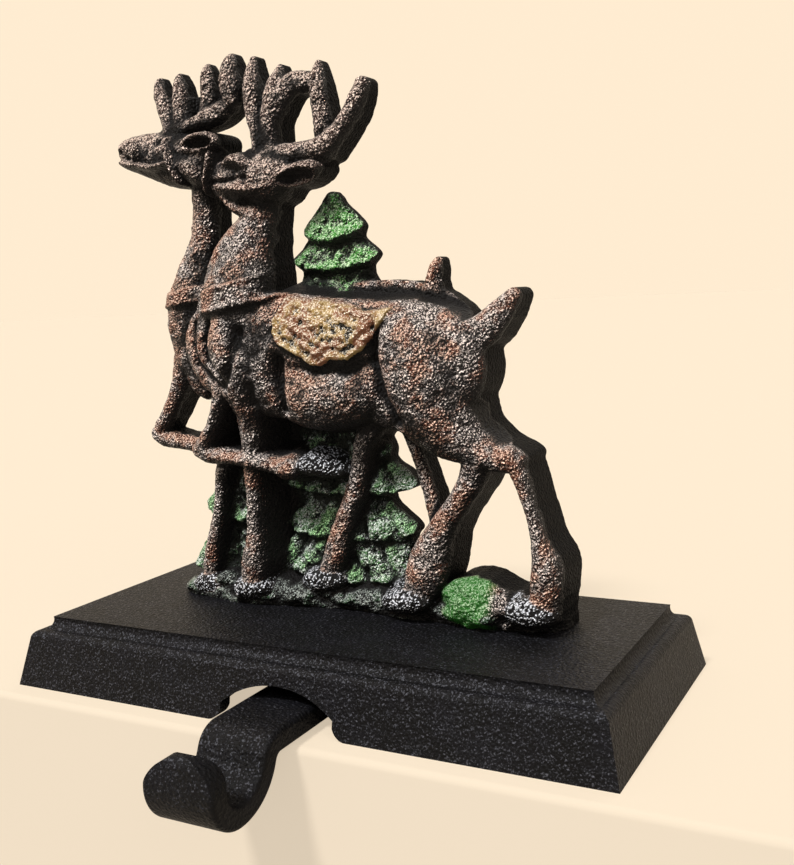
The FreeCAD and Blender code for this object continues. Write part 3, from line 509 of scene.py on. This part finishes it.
def line_distance(points):
    """Distance to a line of straight runs."""
    nearest = np.full(X.shape, FAR)
    for (ax, az), (bx, bz) in zip(points, points[1:]):
        run = np.array([bx - ax, bz - az], float)
        t = np.clip(((X - ax) * run[0] + (Z - az) * run[1]) / (run @ run), 0, 1)
        nearest = np.minimum(nearest, np.hypot(X - ax - t * run[0], Z - az - t * run[1]))
    return nearest


def edge_distance(outline):
    """Signed distance to a closed outline of straight runs, negative inside, where a point is inside if a
    line drawn from it to the right crosses the outline an odd number of times."""
    closed = outline + outline[:1]
    nearest = line_distance(closed)
    odd = np.zeros(X.shape, bool)
    for (ax, az), (bx, bz) in zip(closed, closed[1:]):
        crosses = (Z < az) != (Z < bz)
        with np.errstate(divide="ignore", invalid="ignore"):
            odd ^= crosses & (X < ax + (Z - az) * (bx - ax) / np.float64(bz - az))
    return np.where(odd, -nearest, nearest)


def plate(outline, front_y):
    """A flat web: its front at one depth inside the outline, and falling back at the draft outside."""
    distance = edge_distance(outline)
    return front_y + np.maximum(distance, 0) * draft, distance


def stroke(points, width, depth):
    """A groove along a line: depth * exp(-(distance / width)^2)."""
    return depth * np.exp(-(line_distance(points) / width) ** 2)


def bowl(x, z, half_x, half_z, turn, depth):
    """A hollow with an oval rim: depth * sqrt(1 - r^2), where r is the distance in half widths."""
    angle = math.radians(turn)
    along = (X - x) * math.cos(angle) + (Z - z) * math.sin(angle)
    across = -(X - x) * math.sin(angle) + (Z - z) * math.cos(angle)
    r2 = (along / half_x) ** 2 + (across / half_z) ** 2
    return depth * np.sqrt(np.clip(1 - r2, 0, 1))


def step(distance, width):
    """1 well inside an outline and 0 outside, with a smooth edge of that width."""
    t = np.clip(0.5 - distance / width, 0, 1)
    return t * t * (3 - 2 * t)


def blur(field, radius):
    """Field averaged over a square of that half width in millimetres, twice over, by running sums."""
    reach = max(1, int(round(radius / cell)))
    span = 2 * reach + 1
    for axis in (0, 1, 0, 1):
        before = np.repeat(np.take(field, [0], axis), reach + 1, axis)
        after = np.repeat(np.take(field, [-1], axis), reach, axis)
        total = np.cumsum(np.concatenate([before, field, after], axis), axis)
        n = field.shape[axis]
        field = (np.take(total, np.arange(span, span + n), axis) - np.take(total, np.arange(n), axis)) / span
    return field


def soft_noise(scale, seed):
    """Smooth random field: a coarse grid of seeded random values, blended over the field by cosine steps."""
    rng = np.random.default_rng(seed)
    nx = int((field_right - field_left) / scale) + 3
    nz = int((field_high - field_low) / scale) + 3
    values = rng.standard_normal((nx, nz))
    u, v = (X - field_left) / scale, (Z - field_low) / scale
    i, j = u.astype(int), v.astype(int)
    a, b = u - i, v - j
    a, b = a * a * (3 - 2 * a), b * b * (3 - 2 * b)
    near = values[i, j] * (1 - a) + values[i + 1, j] * a
    far = values[i, j + 1] * (1 - a) + values[i + 1, j + 1] * a
    return near * (1 - b) + far * b


def rough(layers):
    """Sum of soft noises, given as (scale, seed, height)."""
    return sum(height * soft_noise(scale, seed) for scale, seed, height in layers)


def tier(axis, top, tip, middle, top_width, tip_width):
    """One skirt of boughs, with a lower rim that droops as an ellipse. The front is crease - swell *
    sqrt(1 - q^2), where q is the distance from the trunk over the half width, deeper towards the rim and
    carved by sine waves that fan out from the trunk."""
    across = X - axis
    share_line = np.clip((top - Z) / (top - tip), 0, 1)
    width = top_width + (tip_width - top_width) * share_line ** tier_flare
    q = np.clip(np.abs(across) / tip_width, 0, 1)
    rim = middle + (tip - middle) * (1 - np.sqrt(1 - q ** 2))
    share = np.clip((top - Z) / np.maximum(top - rim, 0.5), 0, 1)
    outline = np.maximum.reduce([(np.abs(across) - width) * tier_slope, rim - Z, Z - top])
    bulge = np.sqrt(np.clip(1 - (np.abs(across) / np.maximum(width, 0.1)) ** 2, 0, 1))
    fan = np.sin(across * fan_pitch + np.sin(Z * fan_twist + axis) * fan_sway) * 0.5 + 0.5
    lobes = lobe_least + lobe_gain * fan * share
    deep = bulge_least + (1 - bulge_least) * share ** bulge_power
    front = tree_crease - tree_swell * deep * bulge * lobes
    return front + np.maximum(outline, 0) * draft, outline


def boughs():
    """Sprays of needles over the lower tiers: in each row, ovals that point down and out from the trunk,
    each bulging as sqrt(1 - r^2), with the highest one showing."""
    lift = np.zeros(X.shape)
    for row in range(bough_rows):
        z = bough_top - row * bough_drop
        for place in bough_places:
            x = tall_tree_x + (place + 0.5 * (row % 2) + 0.25) * bough_spacing
            turn = bough_turn * np.sign(x - tall_tree_x) + bough_fan * place
            lift = np.maximum(lift, bowl(x, z, *bough_half_size, turn, 1.0) + bough_stagger * (row % 3))
    return lift


def trees():
    """Both trees: their tiers run together, with boughs laid over the low ones."""
    made = [
        tier(axis, *sizes)
        for axis, tiers in ((tall_tree_x, tall_tree), (short_tree_x, short_tree))
        for sizes in tiers
    ]
    front, outline = joined(made, tree_blend)
    low = np.clip((bough_line - Z) / bough_fade, 0, 1)
    front = blur(front, tree_softening) - bough_depth * low * (boughs() - 0.5)
    return front, blur(outline, tree_rounding)


def bank():
    """The rocky ground: its front runs through the given places, leans back towards the top and is broken
    into lumps by smooth noise."""
    xs, fronts_y, tops = (np.array([g[k] for g in ground], float) for k in range(3))
    top = np.interp(X, xs, tops) + rough(ground_top_noise)
    rise = np.clip((Z - foot_plane) / np.maximum(top - foot_plane, 0.5), 0, 1)
    face = np.interp(X, xs, fronts_y) - ground_bulge * np.sin(rise * math.pi) + ground_lean * rise ** 4
    face = face - rough(ground_noise) * np.clip(rise * 3, 0, 1)
    outline = np.maximum(Z - top, np.maximum(xs[0] - X, X - xs[-1]))
    return face + np.maximum(outline, 0) * draft, outline


def harness(deer, body_line, rear_line):
    """Blanket and collars raised from the deer, each a plate of even thickness with a soft edge. The blanket
    has borders at set depths in from its edge, as exp(-(depth / width)^2), and the collar a raised hem."""
    blanket_edge = edge_distance(blanket)
    cloth = step(blanket_edge, harness_edge) * step(body_line + 0.6, 1.2)
    depth_in = np.clip(-blanket_edge, 0, 9)
    borders = sum(np.exp(-((depth_in - inset) / border_width) ** 2) for inset in border_insets)
    deer = deer - cloth * (blanket_thickness + border_height * borders + rough(weave_noise))
    collar_edge = edge_distance(front_collar)
    collar = step(collar_edge, harness_edge) * step(body_line + 0.3, 1.0)
    hem = np.exp(-((collar_edge + hem_inset) / border_width) ** 2)
    deer = deer - collar * (collar_thickness + hem_height * hem)
    band = step(edge_distance(rear_collar), harness_edge) * step(rear_line + 0.3, 1.0) * (body_line > 0.4)
    deer = deer - band * collar_thickness * rear_collar_share
    return deer, cloth, np.maximum(collar, band)


def brush_reach_and_shade(height):
    """How well a brush from in front reaches each place: more where it stands out from a near or a wide
    patch round it, less where it falls away steeply; and painted shade, lower where it faces down, higher
    where up."""
    across, up = np.gradient(blur(height, slope_patch), cell)
    steep = np.hypot(across, up)
    near = blur(height, near_patch) - height
    wide = np.clip(blur(height, wide_patch), *wide_range) - height
    facing_up = up / np.sqrt(1 + steep ** 2)
    reach = reach_level + reach_near * near + reach_wide * wide + shade_by_facing_up * facing_up
    return np.clip(reach - reach_steep * np.clip(steep - steep_least, 0, steep_span), 0, 1)


def relief():
    """The whole casting's front, its outline, and the parts of it that get their own paint."""
    deer_parts = [limbs(stations, crease) for stations, crease in (
        (front_body, front_crease), (front_head, front_head_crease), (front_antler, front_antler_crease),
        (rear_body, rear_crease), (rear_head, rear_crease), (rear_antler, rear_crease),
    )]
    ears = [limbs(front_ear, front_ear_crease), limbs(rear_ear, rear_ear_crease)]
    hooves = [limbs(front_hooves, front_crease), limbs(rear_hooves, rear_crease)]
    hoof, hoof_line = joined(hooves, join_blend)
    antler_plates = [plate(outline, y) for outline, y in antler_webs]
    leg_plates = [plate(outline, y) for outline, y in leg_webs]
    bough, tree_line = trees()
    earth, ground_line = bank()
    hill, hill_line = limbs(mound, mound_crease)

    deer = merge(fronts(deer_parts + antler_plates), deer_blend)
    for points, width, depth in carving:
        deer = deer + stroke(points, width, depth)
    body_line, rear_line = deer_parts[0][1], deer_parts[3][1]
    deer, cloth, collars = harness(deer, body_line, rear_line)
    deer = merge([deer, merge(fronts(ears), join_blend)], join_blend)
    for hollow in hollows:
        deer = deer + bowl(*hollow)

    layers = {
        "deer": deer, "tree": bough + rough(needle_noise), "earth": earth,
        "mound": hill + rough(mound_noise), "hoof": hoof,
    }
    height = merge(list(layers.values()) + fronts(leg_plates), join_blend)
    height = np.minimum(height, back_at(Z) - least_thickness) + rough(casting_noise)
    outline = merge(
        lines(deer_parts + ears) + [hoof_line, tree_line, ground_line, hill_line]
        + lines(antler_plates + leg_plates),
        outline_blend,
    )
    outline = np.maximum(outline, foot_plane - Z) + rough(edge_noise)

    paint = {"blanket": cloth, "collar": collars}
    for name in ("tree", "earth", "mound", "hoof"):
        others = np.minimum.reduce([field for key, field in layers.items() if key != name])
        paint[name] = step(layers[name] - others, paint_edge)
    paint["mound"] = paint["mound"] * step(X - turf_end, turf_fade)
    paint["antler"] = step(antler_low - Z, antler_fade)
    paint["foot"] = step(Z - foot_high, foot_fade)
    # Dry-brush reach, with painted shade on places that face down.
    paint["raised"] = brush_reach_and_shade(height)
    return height, outline, paint


# Mesh of the casting

CORNERS = ((0, 0), (1, 0), (1, 1), (0, 1))


def smooth_mesh(name, points, faces):
    mesh = bpy.data.meshes.new(name)
    mesh.from_pydata((points * MM).tolist(), [], faces.tolist())
    mesh.polygons.foreach_set("use_smooth", np.ones(len(mesh.polygons), bool))
    return mesh


def placed(name, data):
    """New object in the scene."""
    item = bpy.data.objects.new(name, data)
    bpy.context.scene.collection.objects.link(item)
    return item


def field_points(height, outline, paint):
    """The front's points, their paint masks and their numbers on the grid: one on each grid point inside
    the outline, and one where the outline crosses the line between two, kept a little off both."""
    nx, nz = outline.shape
    inside = outline < 0
    count = int(inside.sum())
    ids = np.full((nx, nz), -1)
    ids[inside] = np.arange(count)
    points = [np.stack([X[inside], height[inside], Z[inside]], axis=1)]
    values = {key: [field[inside]] for key, field in paint.items()}
    edge_ids = []
    for shift in ((1, 0), (0, 1)):
        a = (slice(0, nx - shift[0]), slice(0, nz - shift[1]))
        b = (slice(shift[0], nx), slice(shift[1], nz))
        cut = inside[a] != inside[b]
        t = np.clip(outline[a] / (outline[a] - outline[b] + TINY), least_share, 1 - least_share)
        here = np.full(cut.shape, -1)
        here[cut] = np.arange(cut.sum()) + count
        count += int(cut.sum())
        edge_ids.append(here)
        mixed = [f[a][cut] + t[cut] * (f[b][cut] - f[a][cut]) for f in (X, height, Z)]
        mixed[1] = np.minimum(mixed[1], back_at(mixed[2]) - least_wall)
        points.append(np.stack(mixed, axis=1))
        for key, field in paint.items():
            values[key].append(field[a][cut])
    values = {key: np.concatenate(parts) for key, parts in values.items()}
    return np.vstack(points), values, inside, ids, edge_ids


def front_faces(inside, ids, edge_ids):
    """Marching squares: the part of each grid square inside the outline, walked round over its corners
    and cuts, becomes a fan of triangles. An edge from cut to cut belongs to the rim."""
    nx, nz = inside.shape
    across_ids, up_ids = edge_ids
    corner_ids = [ids[i:nx - 1 + i, j:nz - 1 + j] for i, j in CORNERS]
    side_ids = [across_ids[:, :-1], up_ids[1:, :], across_ids[:, 1:], up_ids[:-1, :]]
    kind = sum(inside[i:nx - 1 + i, j:nz - 1 + j] * (1 << k) for k, (i, j) in enumerate(CORNERS))
    triangles, rims = [], []
    for case in range(1, 16):
        here = kind == case
        walk, is_cut = [], []
        for k in range(4):
            if case >> k & 1:
                walk.append(corner_ids[k][here])
                is_cut.append(False)
            if (case >> k & 1) != (case >> (k + 1) % 4 & 1):
                walk.append(side_ids[k][here])
                is_cut.append(True)
        for k in range(1, len(walk) - 1):
            triangles.append(np.stack([walk[0], walk[k], walk[k + 1]], axis=1))
        for k in range(len(walk)):
            following = (k + 1) % len(walk)
            if is_cut[k] and is_cut[following]:
                rims.append(np.stack([walk[k], walk[following]], axis=1))
    return np.vstack(triangles), np.vstack(rims)


def wall_faces(points, rims):
    """Walls from the rim to the back plane in even rows: their new points and their triangles."""
    rim_ids = np.unique(rims)
    place = np.full(len(points), -1)
    place[rim_ids] = np.arange(len(rim_ids))
    start = points[rim_ids]
    layers, faces = [], []
    upper = rims
    for row in range(wall_rows):
        layer = start.copy()
        layer[:, 1] = start[:, 1] + (back_at(start[:, 2]) - start[:, 1]) * ((row + 1) / wall_rows)
        layers.append(layer)
        lower = place[rims] + len(points) + row * len(rim_ids)
        faces.append(np.stack([upper[:, 1], upper[:, 0], lower[:, 0]], axis=1))
        faces.append(np.stack([upper[:, 1], lower[:, 0], lower[:, 1]], axis=1))
        upper = lower
    return np.vstack(layers), np.vstack(faces)


def casting_mesh(name, height, outline, paint):
    """The front lifted to the height field, walls from its rim to the back plane and a flat face over the
    back. The paint masks become attributes, with one more that is 1 behind the rim."""
    points, values, inside, ids, edge_ids = field_points(height, outline, paint)
    triangles, rims = front_faces(inside, ids, edge_ids)
    wall_points, walls = wall_faces(points, rims)
    behind = np.zeros(len(wall_points))
    values = {key: np.concatenate([field, behind]) for key, field in values.items()}
    values["side"] = np.concatenate([np.zeros(len(points)), behind + 1])

    mesh = smooth_mesh(name, np.vstack([points, wall_points]), np.vstack([triangles, walls]))
    for key, field in values.items():
        mesh.attributes.new(key, "FLOAT", "POINT").data.foreach_set("value", field.astype(np.float32))
    close_back(mesh)
    return mesh


def close_back(mesh):
    """The open loops on the back plane are filled with one flat sheet of triangles, with a crisp rim."""
    work = bmesh.new()
    work.from_mesh(mesh)
    rim = [e for e in work.edges if e.is_boundary]
    for edge in rim:
        edge.smooth = False
    sheet = bmesh.ops.triangle_fill(work, use_beauty=False, use_dissolve=False, edges=rim)["geom"]
    for face in sheet:
        if isinstance(face, bmesh.types.BMFace):
            face.smooth = False
    bmesh.ops.recalc_face_normals(work, faces=work.faces)
    work.to_mesh(mesh)
    work.free()


# Materials

def wire(tree, start, end):
    tree.links.new(start, end)


def math_node(tree, operation, first, second, clamp=False):
    node = tree.nodes.new("ShaderNodeMath")
    node.operation = operation
    node.use_clamp = clamp
    for socket, value in zip(node.inputs, (first, second)):
        if isinstance(value, (int, float)):
            socket.default_value = value
        else:
            wire(tree, value, socket)
    return node.outputs[0]


def times(tree, first, second):
    return math_node(tree, "MULTIPLY", first, second)


def plus(tree, first, second):
    return math_node(tree, "ADD", first, second)


def minus(tree, first, second):
    return math_node(tree, "SUBTRACT", first, second)


def centred(tree, value, amount):
    """A value that varies round a half, made to vary round 0 by that amount."""
    return times(tree, minus(tree, value, 0.5), amount)


def ramp(tree, value, start, full):
    """0 up to the start, 1 from the full value on, smooth between. The start may be the larger of them."""
    node = tree.nodes.new("ShaderNodeMapRange")
    node.interpolation_type = "SMOOTHSTEP"
    node.inputs["From Min"].default_value = start
    node.inputs["From Max"].default_value = full
    wire(tree, value, node.inputs["Value"])
    return node.outputs[0]


def noise(tree, vector, scale, detail, roughness):
    node = tree.nodes.new("ShaderNodeTexNoise")
    node.inputs["Scale"].default_value = scale
    node.inputs["Detail"].default_value = detail
    node.inputs["Roughness"].default_value = roughness
    wire(tree, vector, node.inputs["Vector"])
    return node.outputs["Fac"]


def mix_colour(tree, factor, first, second):
    node = tree.nodes.new("ShaderNodeMix")
    node.data_type = "RGBA"
    wire(tree, factor, node.inputs["Factor"])
    for socket, value in zip([s for s in node.inputs if s.type == "RGBA"], (first, second)):
        if isinstance(value, tuple):
            socket.default_value = value + (1,)
        else:
            wire(tree, value, socket)
    return [s for s in node.outputs if s.type == "RGBA"][0]


def mix_shaders(tree, factor, first, second, output):
    both = tree.nodes.new("ShaderNodeMixShader")
    for socket, value in zip(both.inputs, (factor, first, second)):
        wire(tree, value, socket)
    wire(tree, both.outputs[0], tree.nodes[output].inputs["Surface"])


def attribute(tree, name):
    node = tree.nodes.new("ShaderNodeAttribute")
    node.attribute_name = name
    return node.outputs["Fac"]


def new_group(name, inputs, outputs):
    group = bpy.data.node_groups.new(name, "ShaderNodeTree")
    for label, value in inputs:
        socket = group.interface.new_socket(label, in_out="INPUT", socket_type="NodeSocketFloat")
        socket.default_value = value
    for label in outputs:
        group.interface.new_socket(label, in_out="OUTPUT", socket_type="NodeSocketFloat")
    return group, group.nodes.new("NodeGroupInput"), group.nodes.new("NodeGroupOutput")


def sand_grain():
    """Grain left by the sand mould: a height made of rounded grains and finer noise, a mask of small flecks
    that catch paint, and a slow mottle over the whole piece."""
    group, given, result = new_group(
        "Sand grain", [("Grain size", 1.0), ("Speckle level", 0.5)], ["Height", "Speckle", "Mottle"]
    )
    sized = group.nodes.new("ShaderNodeVectorMath")
    sized.operation = "SCALE"
    wire(group, group.nodes.new("ShaderNodeTexCoord").outputs["Object"], sized.inputs[0])
    wire(group, math_node(group, "DIVIDE", 1.0, given.outputs["Grain size"]), sized.inputs["Scale"])
    place = sized.outputs[0]
    grains = group.nodes.new("ShaderNodeTexVoronoi")
    grains.feature = "SMOOTH_F1"
    grains.inputs["Scale"].default_value = grain_scale
    grains.inputs["Smoothness"].default_value = 0.6
    wire(group, place, grains.inputs["Vector"])
    round_grain = ramp(group, grains.outputs["Distance"], 0.7, 0.05)
    fine = noise(group, place, 2300.0, 3.0, 0.75)
    coarse = noise(group, place, 600.0, 3.0, 0.6)
    height = plus(group, times(group, round_grain, 0.35), times(group, fine, 0.4))
    wire(group, plus(group, height, times(group, coarse, 0.25)), result.inputs["Height"])
    flecks = times(group, noise(group, place, 2900.0, 1.0, 0.5), 0.62)
    clumps = times(group, noise(group, place, 1250.0, 3.0, 0.7), 0.38)
    above = minus(group, plus(group, flecks, clumps), given.outputs["Speckle level"])
    wire(group, math_node(group, "MULTIPLY", above, fleck_edge, clamp=True), result.inputs["Speckle"])
    wire(group, noise(group, place, 130.0, 4.0, 0.6), result.inputs["Mottle"])
    return group


def use_grain(tree, size, level):
    node = tree.nodes.new("ShaderNodeGroup")
    node.node_tree = grain_group
    node.inputs["Grain size"].default_value = size
    node.inputs["Speckle level"].default_value = level
    return node.outputs["Height"], node.outputs["Speckle"], node.outputs["Mottle"]


def new_material(name):
    material = bpy.data.materials.new(name)
    material.use_nodes = True
    return material, material.node_tree, material.node_tree.nodes["Principled BSDF"]


def add_bump(tree, shader, height, depth_mm):
    """Bump from the grain's height. Gives, as a cosine, how far each grain's side faces the painted light.
    """
    bump = tree.nodes.new("ShaderNodeBump")
    bump.inputs["Distance"].default_value = depth_mm * MM
    bump.inputs["Strength"].default_value = 1.0
    wire(tree, height, bump.inputs["Height"])
    wire(tree, bump.outputs["Normal"], shader.inputs["Normal"])
    light_facing = tree.nodes.new("ShaderNodeVectorMath")
    light_facing.operation = "DOT_PRODUCT"
    wire(tree, bump.outputs["Normal"], light_facing.inputs[0])
    light_facing.inputs[1].default_value = painted_light_direction
    return light_facing.outputs["Value"]


def grained_metal(name, grain_size, grain_depth, speckle_level, tone):
    """Bare zinc or, with a tone near 0, black enamel, over the mould's grain: a slow mottle, half gloss, and
    paler flecks on the grain sides that face the light, which are painted glints."""
    material, tree, shader = new_material(name)
    height, speckle, mottle = use_grain(tree, grain_size, speckle_level)
    dark, light = (tone * 0.6, tone * 0.6, tone * 0.68), (tone, tone, tone * 1.3)
    colour = mix_colour(tree, ramp(tree, mottle, 0.35, 0.7), dark, light)
    # Painted glints: pale flecks only on the grain sides that face the light.
    glint_side = ramp(tree, add_bump(tree, shader, height, grain_depth), 0.6, 0.97)
    tips_and_glints = tuple(min(tone * gain, 0.8) for gain in (14, 14, 16))
    colour = mix_colour(tree, times(tree, speckle, glint_side), colour, tips_and_glints)
    wire(tree, colour, shader.inputs["Base Color"])
    wire(tree, minus(tree, 0.5, times(tree, speckle, 0.16)), shader.inputs["Roughness"])
    shader.inputs["Specular IOR Level"].default_value = 0.1
    return material


def relief_paint():
    """Black enamel, dry-brushed: raised parts stained and bright paint on their flecks, with painted glints
    on the flecks that face the light and painted shade on sides turned from it. Bronze on the deer, green on
    the trees, gold and rust on the blanket, silver on the hooves. The walls and the flat back stay black."""
    material, tree, shader = new_material("Dry-brushed casting with painted light")
    height, speckle, mottle = use_grain(tree, casting_grain_size, casting_speckle_level)
    light_facing = add_bump(tree, shader, height, casting_grain_depth)
    # Painted glints: the flecks are kept only where the grain and the surface face the light.
    speckle = times(tree, speckle, ramp(tree, light_facing, 0.5, 0.88))
    place = tree.nodes.new("ShaderNodeTexCoord").outputs["Object"]
    patches = noise(tree, place, 190.0, 4.0, 0.62)
    masks = {name: attribute(tree, name) for name in (
        "raised", "side", "tree", "collar", "antler", "foot", "earth", "mound", "blanket", "hoof",
    )}
    side, antler = masks["side"], masks["antler"]

    # Lift carries the raised mask: dry-brush reach, with painted shade where the surface faces down.
    lift = plus(tree, masks["raised"], centred(tree, patches, 1.8))
    for name, more in (("tree", 0.3), ("collar", 0.25), ("antler", -0.15)):
        lift = plus(tree, lift, times(tree, masks[name], more))
    # Bright tips on the flecks of the raised parts: dry-brush paint with painted glints.
    tip_and_glint_share = times(tree, speckle, ramp(tree, lift, 0.2, 0.72))
    stain_and_shade = ramp(tree, plus(tree, lift, centred(tree, height, 1.4)), 0.42, 0.74)
    # Painted shade: the stain fades where the grain and the surface turn away from the light.
    stain_and_shade = times(tree, stain_and_shade, ramp(tree, light_facing, 0.3, 0.75))
    warm = ramp(tree, mottle, 0.44, 0.58)

    def brushed(ground, stained, tips_and_glints):
        """Enamel in the hollows, stained over the raised parts, and bright paint with painted glints on
        their flecks.
        """
        return mix_colour(tree, tip_and_glint_share, mix_colour(tree, stain_and_shade, ground, stained), tips_and_glints)

    deer_stain = mix_colour(tree, antler, mix_colour(tree, warm, bronze_stain, rust_stain), antler_stain)
    deer_tips_and_glints = mix_colour(tree, antler, mix_colour(tree, warm, bronze_tips_and_glints, copper_tips_and_glints), antler_tips_and_glints)
    colour = brushed(enamel, deer_stain, deer_tips_and_glints)
    needles = mix_colour(tree, masks["foot"], top_needles, foot_needles)
    # Tips on the needles: dry-brush paint with painted glints.
    needle_tips_and_glints = mix_colour(tree, masks["foot"], top_needle_tips_and_glints, mix_colour(tree, warm, grey_needle_tips_and_glints, green_needle_tips_and_glints))
    colour = mix_colour(tree, masks["tree"], colour, brushed(pine_enamel, needles, needle_tips_and_glints))
    mossy = mix_colour(tree, ramp(tree, patches, 0.48, 0.6), bare_earth, moss)
    colour = mix_colour(tree, masks["earth"], colour, brushed(enamel, mossy, earth_tips_and_glints))
    # Turf tips on the lit flecks: green paint with painted glints.
    colour = mix_colour(tree, masks["mound"], colour, mix_colour(tree, speckle, turf, turf_tips_and_glints))
    weave = mix_colour(tree, ramp(tree, patches, 0.4, 0.58), gold, red_brown)
    shown = ramp(tree, plus(tree, lift, centred(tree, height, 0.6)), 0.3, 0.46)
    # Cloth tips on the lit flecks: paint with painted glints.
    cloth = mix_colour(tree, speckle, mix_colour(tree, shown, enamel, weave), cloth_tips_and_glints)
    colour = mix_colour(tree, masks["blanket"], colour, cloth)
    # Silver flakes on the hooves, kept where the grain faces the light: silver paint with painted glints.
    silver_flakes_and_glints = times(tree, ramp(tree, light_facing, 0.6, 0.85), ramp(tree, height, 0.38, 0.5))
    colour = mix_colour(tree, masks["hoof"], colour, mix_colour(tree, silver_flakes_and_glints, enamel, silver))

    turned = tree.nodes.new("ShaderNodeSeparateXYZ")
    wire(tree, tree.nodes.new("ShaderNodeNewGeometry").outputs["Normal"], turned.inputs[0])
    back = ramp(tree, turned.outputs["Y"], 0.7, 0.95)
    colour = mix_colour(tree, side, colour, mix_colour(tree, back, wall_enamel, back_enamel))
    wire(tree, colour, shader.inputs["Base Color"])
    shine = times(tree, tip_and_glint_share, minus(tree, 1.0, side))
    wire(tree, times(tree, shine, 0.45), shader.inputs["Metallic"])
    wire(tree, minus(tree, 0.48, times(tree, tip_and_glint_share, 0.1)), shader.inputs["Roughness"])
    gloss = minus(tree, 0.14, times(tree, side, 0.12))
    wire(tree, plus(tree, gloss, times(tree, back, 0.2)), shader.inputs["Specular IOR Level"])
    return material


def plain_surface(name, colour, seen_colour, seen_share):
    """Matt, evenly coloured, for what the object stands on. The camera sees it mixed by a share with the
    backdrop's own colour, so that only the object's shadow sets it off."""
    material, tree, shader = new_material(name)
    shader.inputs["Base Color"].default_value = colour
    shader.inputs["Roughness"].default_value = 0.9
    shader.inputs["Specular IOR Level"].default_value = 0.1
    seen = tree.nodes.new("ShaderNodeEmission")
    seen.inputs["Color"].default_value = seen_colour
    path = tree.nodes.new("ShaderNodeLightPath")
    share = times(tree, path.outputs["Is Camera Ray"], seen_share)
    mix_shaders(tree, share, shader.outputs[0], seen.outputs[0], "Material Output")
    return material


# Object

grain_group = sand_grain()
casting = placed("figure_casting", casting_mesh("figure_casting", *relief()))
casting.data.materials.append(relief_paint())
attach(casting, "root")
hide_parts("figure")

on_plinth = grained_metal("Plinth enamel", grain_size=1.1, grain_depth=0.42, speckle_level=0.535, tone=0.006)
on_hook = grained_metal("Hook enamel", grain_size=1.25, grain_depth=0.5, speckle_level=0.545, tone=0.0057)
on_screws = grained_metal("Screw zinc", grain_size=0.6, grain_depth=0.04, speckle_level=0.64, tone=0.2)
for node_name, material in (
    ("plinth", on_plinth), ("hook", on_hook), ("figure_screws", on_screws), ("hook_screws", on_screws),
):
    node_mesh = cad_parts[node_name].data
    node_mesh.materials.clear()
    node_mesh.materials.append(material)


# Shelf, light and camera

def shelf_mesh():
    """A profile carried along X: up the shelf's front, round its edge and back along its top."""
    turn = np.linspace(0, math.pi / 2, 9)
    nose_y = shelf_front + shelf_nose * (1 - np.cos(turn))
    nose = np.stack([nose_y, shelf_nose * (np.sin(turn) - 1)], axis=1)
    profile = np.vstack([[[shelf_front, -shelf_drop]], nose, [[shelf_reach, 0]]])
    n = len(profile)
    points = np.vstack([np.column_stack([np.full(n, x), profile]) for x in (-shelf_reach, shelf_reach)])
    low = np.arange(n - 1)
    faces = np.stack([low, low + n, low + 1 + n, low + 1], axis=1)
    return smooth_mesh("shelf", points, faces)


shelf = placed("shelf", shelf_mesh())
shelf.data.materials.append(plain_surface("Cream shelf", shelf_colour, backdrop, seen_share=0.6))


def studio_world():
    """Soft white light on the object, and the plain backdrop's colour where the camera, a gloss or a
    clear surface sees past it."""
    world = bpy.data.worlds.new("Studio")
    bpy.context.scene.world = world
    world.use_nodes = True
    tree = world.node_tree
    light = tree.nodes["Background"]
    light.inputs["Color"].default_value = (0.98, 0.98, 1.0, 1)
    light.inputs["Strength"].default_value = 0.34
    shown = tree.nodes.new("ShaderNodeBackground")
    shown.inputs["Color"].default_value = backdrop
    path = tree.nodes.new("ShaderNodeLightPath")
    seen = math_node(tree, "MAXIMUM", path.outputs["Is Camera Ray"], path.outputs["Is Glossy Ray"])
    seen = math_node(tree, "MAXIMUM", seen, path.outputs["Is Transmission Ray"])
    mix_shaders(tree, seen, light.outputs[0], shown.outputs[0], "World Output")


def sun(name, azimuth, elevation, strength, spread):
    """Even light from one direction, as soft as its spread in degrees."""
    light = bpy.data.lights.new(name, "SUN")
    light.energy = strength
    light.angle = math.radians(spread)
    holder = placed(name, light)
    az, el = math.radians(azimuth), math.radians(elevation)
    towards = Vector((math.sin(az) * math.cos(el), -math.cos(az) * math.cos(el), math.sin(el)))
    holder.rotation_euler = towards.to_track_quat("Z", "Y").to_euler()


studio_world()
sun("key", azimuth=-20, elevation=56, strength=3.0, spread=10)
sun("fill", azimuth=60, elevation=40, strength=0.5, spread=40)
sun("back", azimuth=170, elevation=45, strength=0.4, spread=30)


def aim(azimuth, elevation, roll):
    """Rotation of a camera that looks along the given azimuth and down by the elevation, turned by roll."""
    az, el, ro = (math.radians(v) for v in (azimuth, elevation, roll))
    forward = Vector((-math.sin(az) * math.cos(el), math.cos(az) * math.cos(el), -math.sin(el)))
    level = Vector((math.cos(az), math.sin(az), 0))
    up = level.cross(forward)
    right = math.cos(ro) * level + math.sin(ro) * up
    top = -math.sin(ro) * level + math.cos(ro) * up
    return Matrix((right, top, -forward)).transposed()


camera_data = bpy.data.cameras.new("camera")
camera_data.sensor_width = 36.0
long_side = max(photo_width, photo_height)
camera_data.lens = focal_pixels * camera_data.sensor_width / long_side
camera_data.shift_x = (photo_width / 2 - centre_column) / long_side
camera_data.shift_y = (centre_row - photo_height / 2) / long_side
camera_data.clip_end = 20.0
camera = placed("camera", camera_data)
bpy.context.scene.camera = camera
camera.matrix_world = aim(azimuth, elevation, roll).to_4x4()
camera.location = [c * MM for c in eye]

bpy.context.scene.view_settings.view_transform = "Standard"
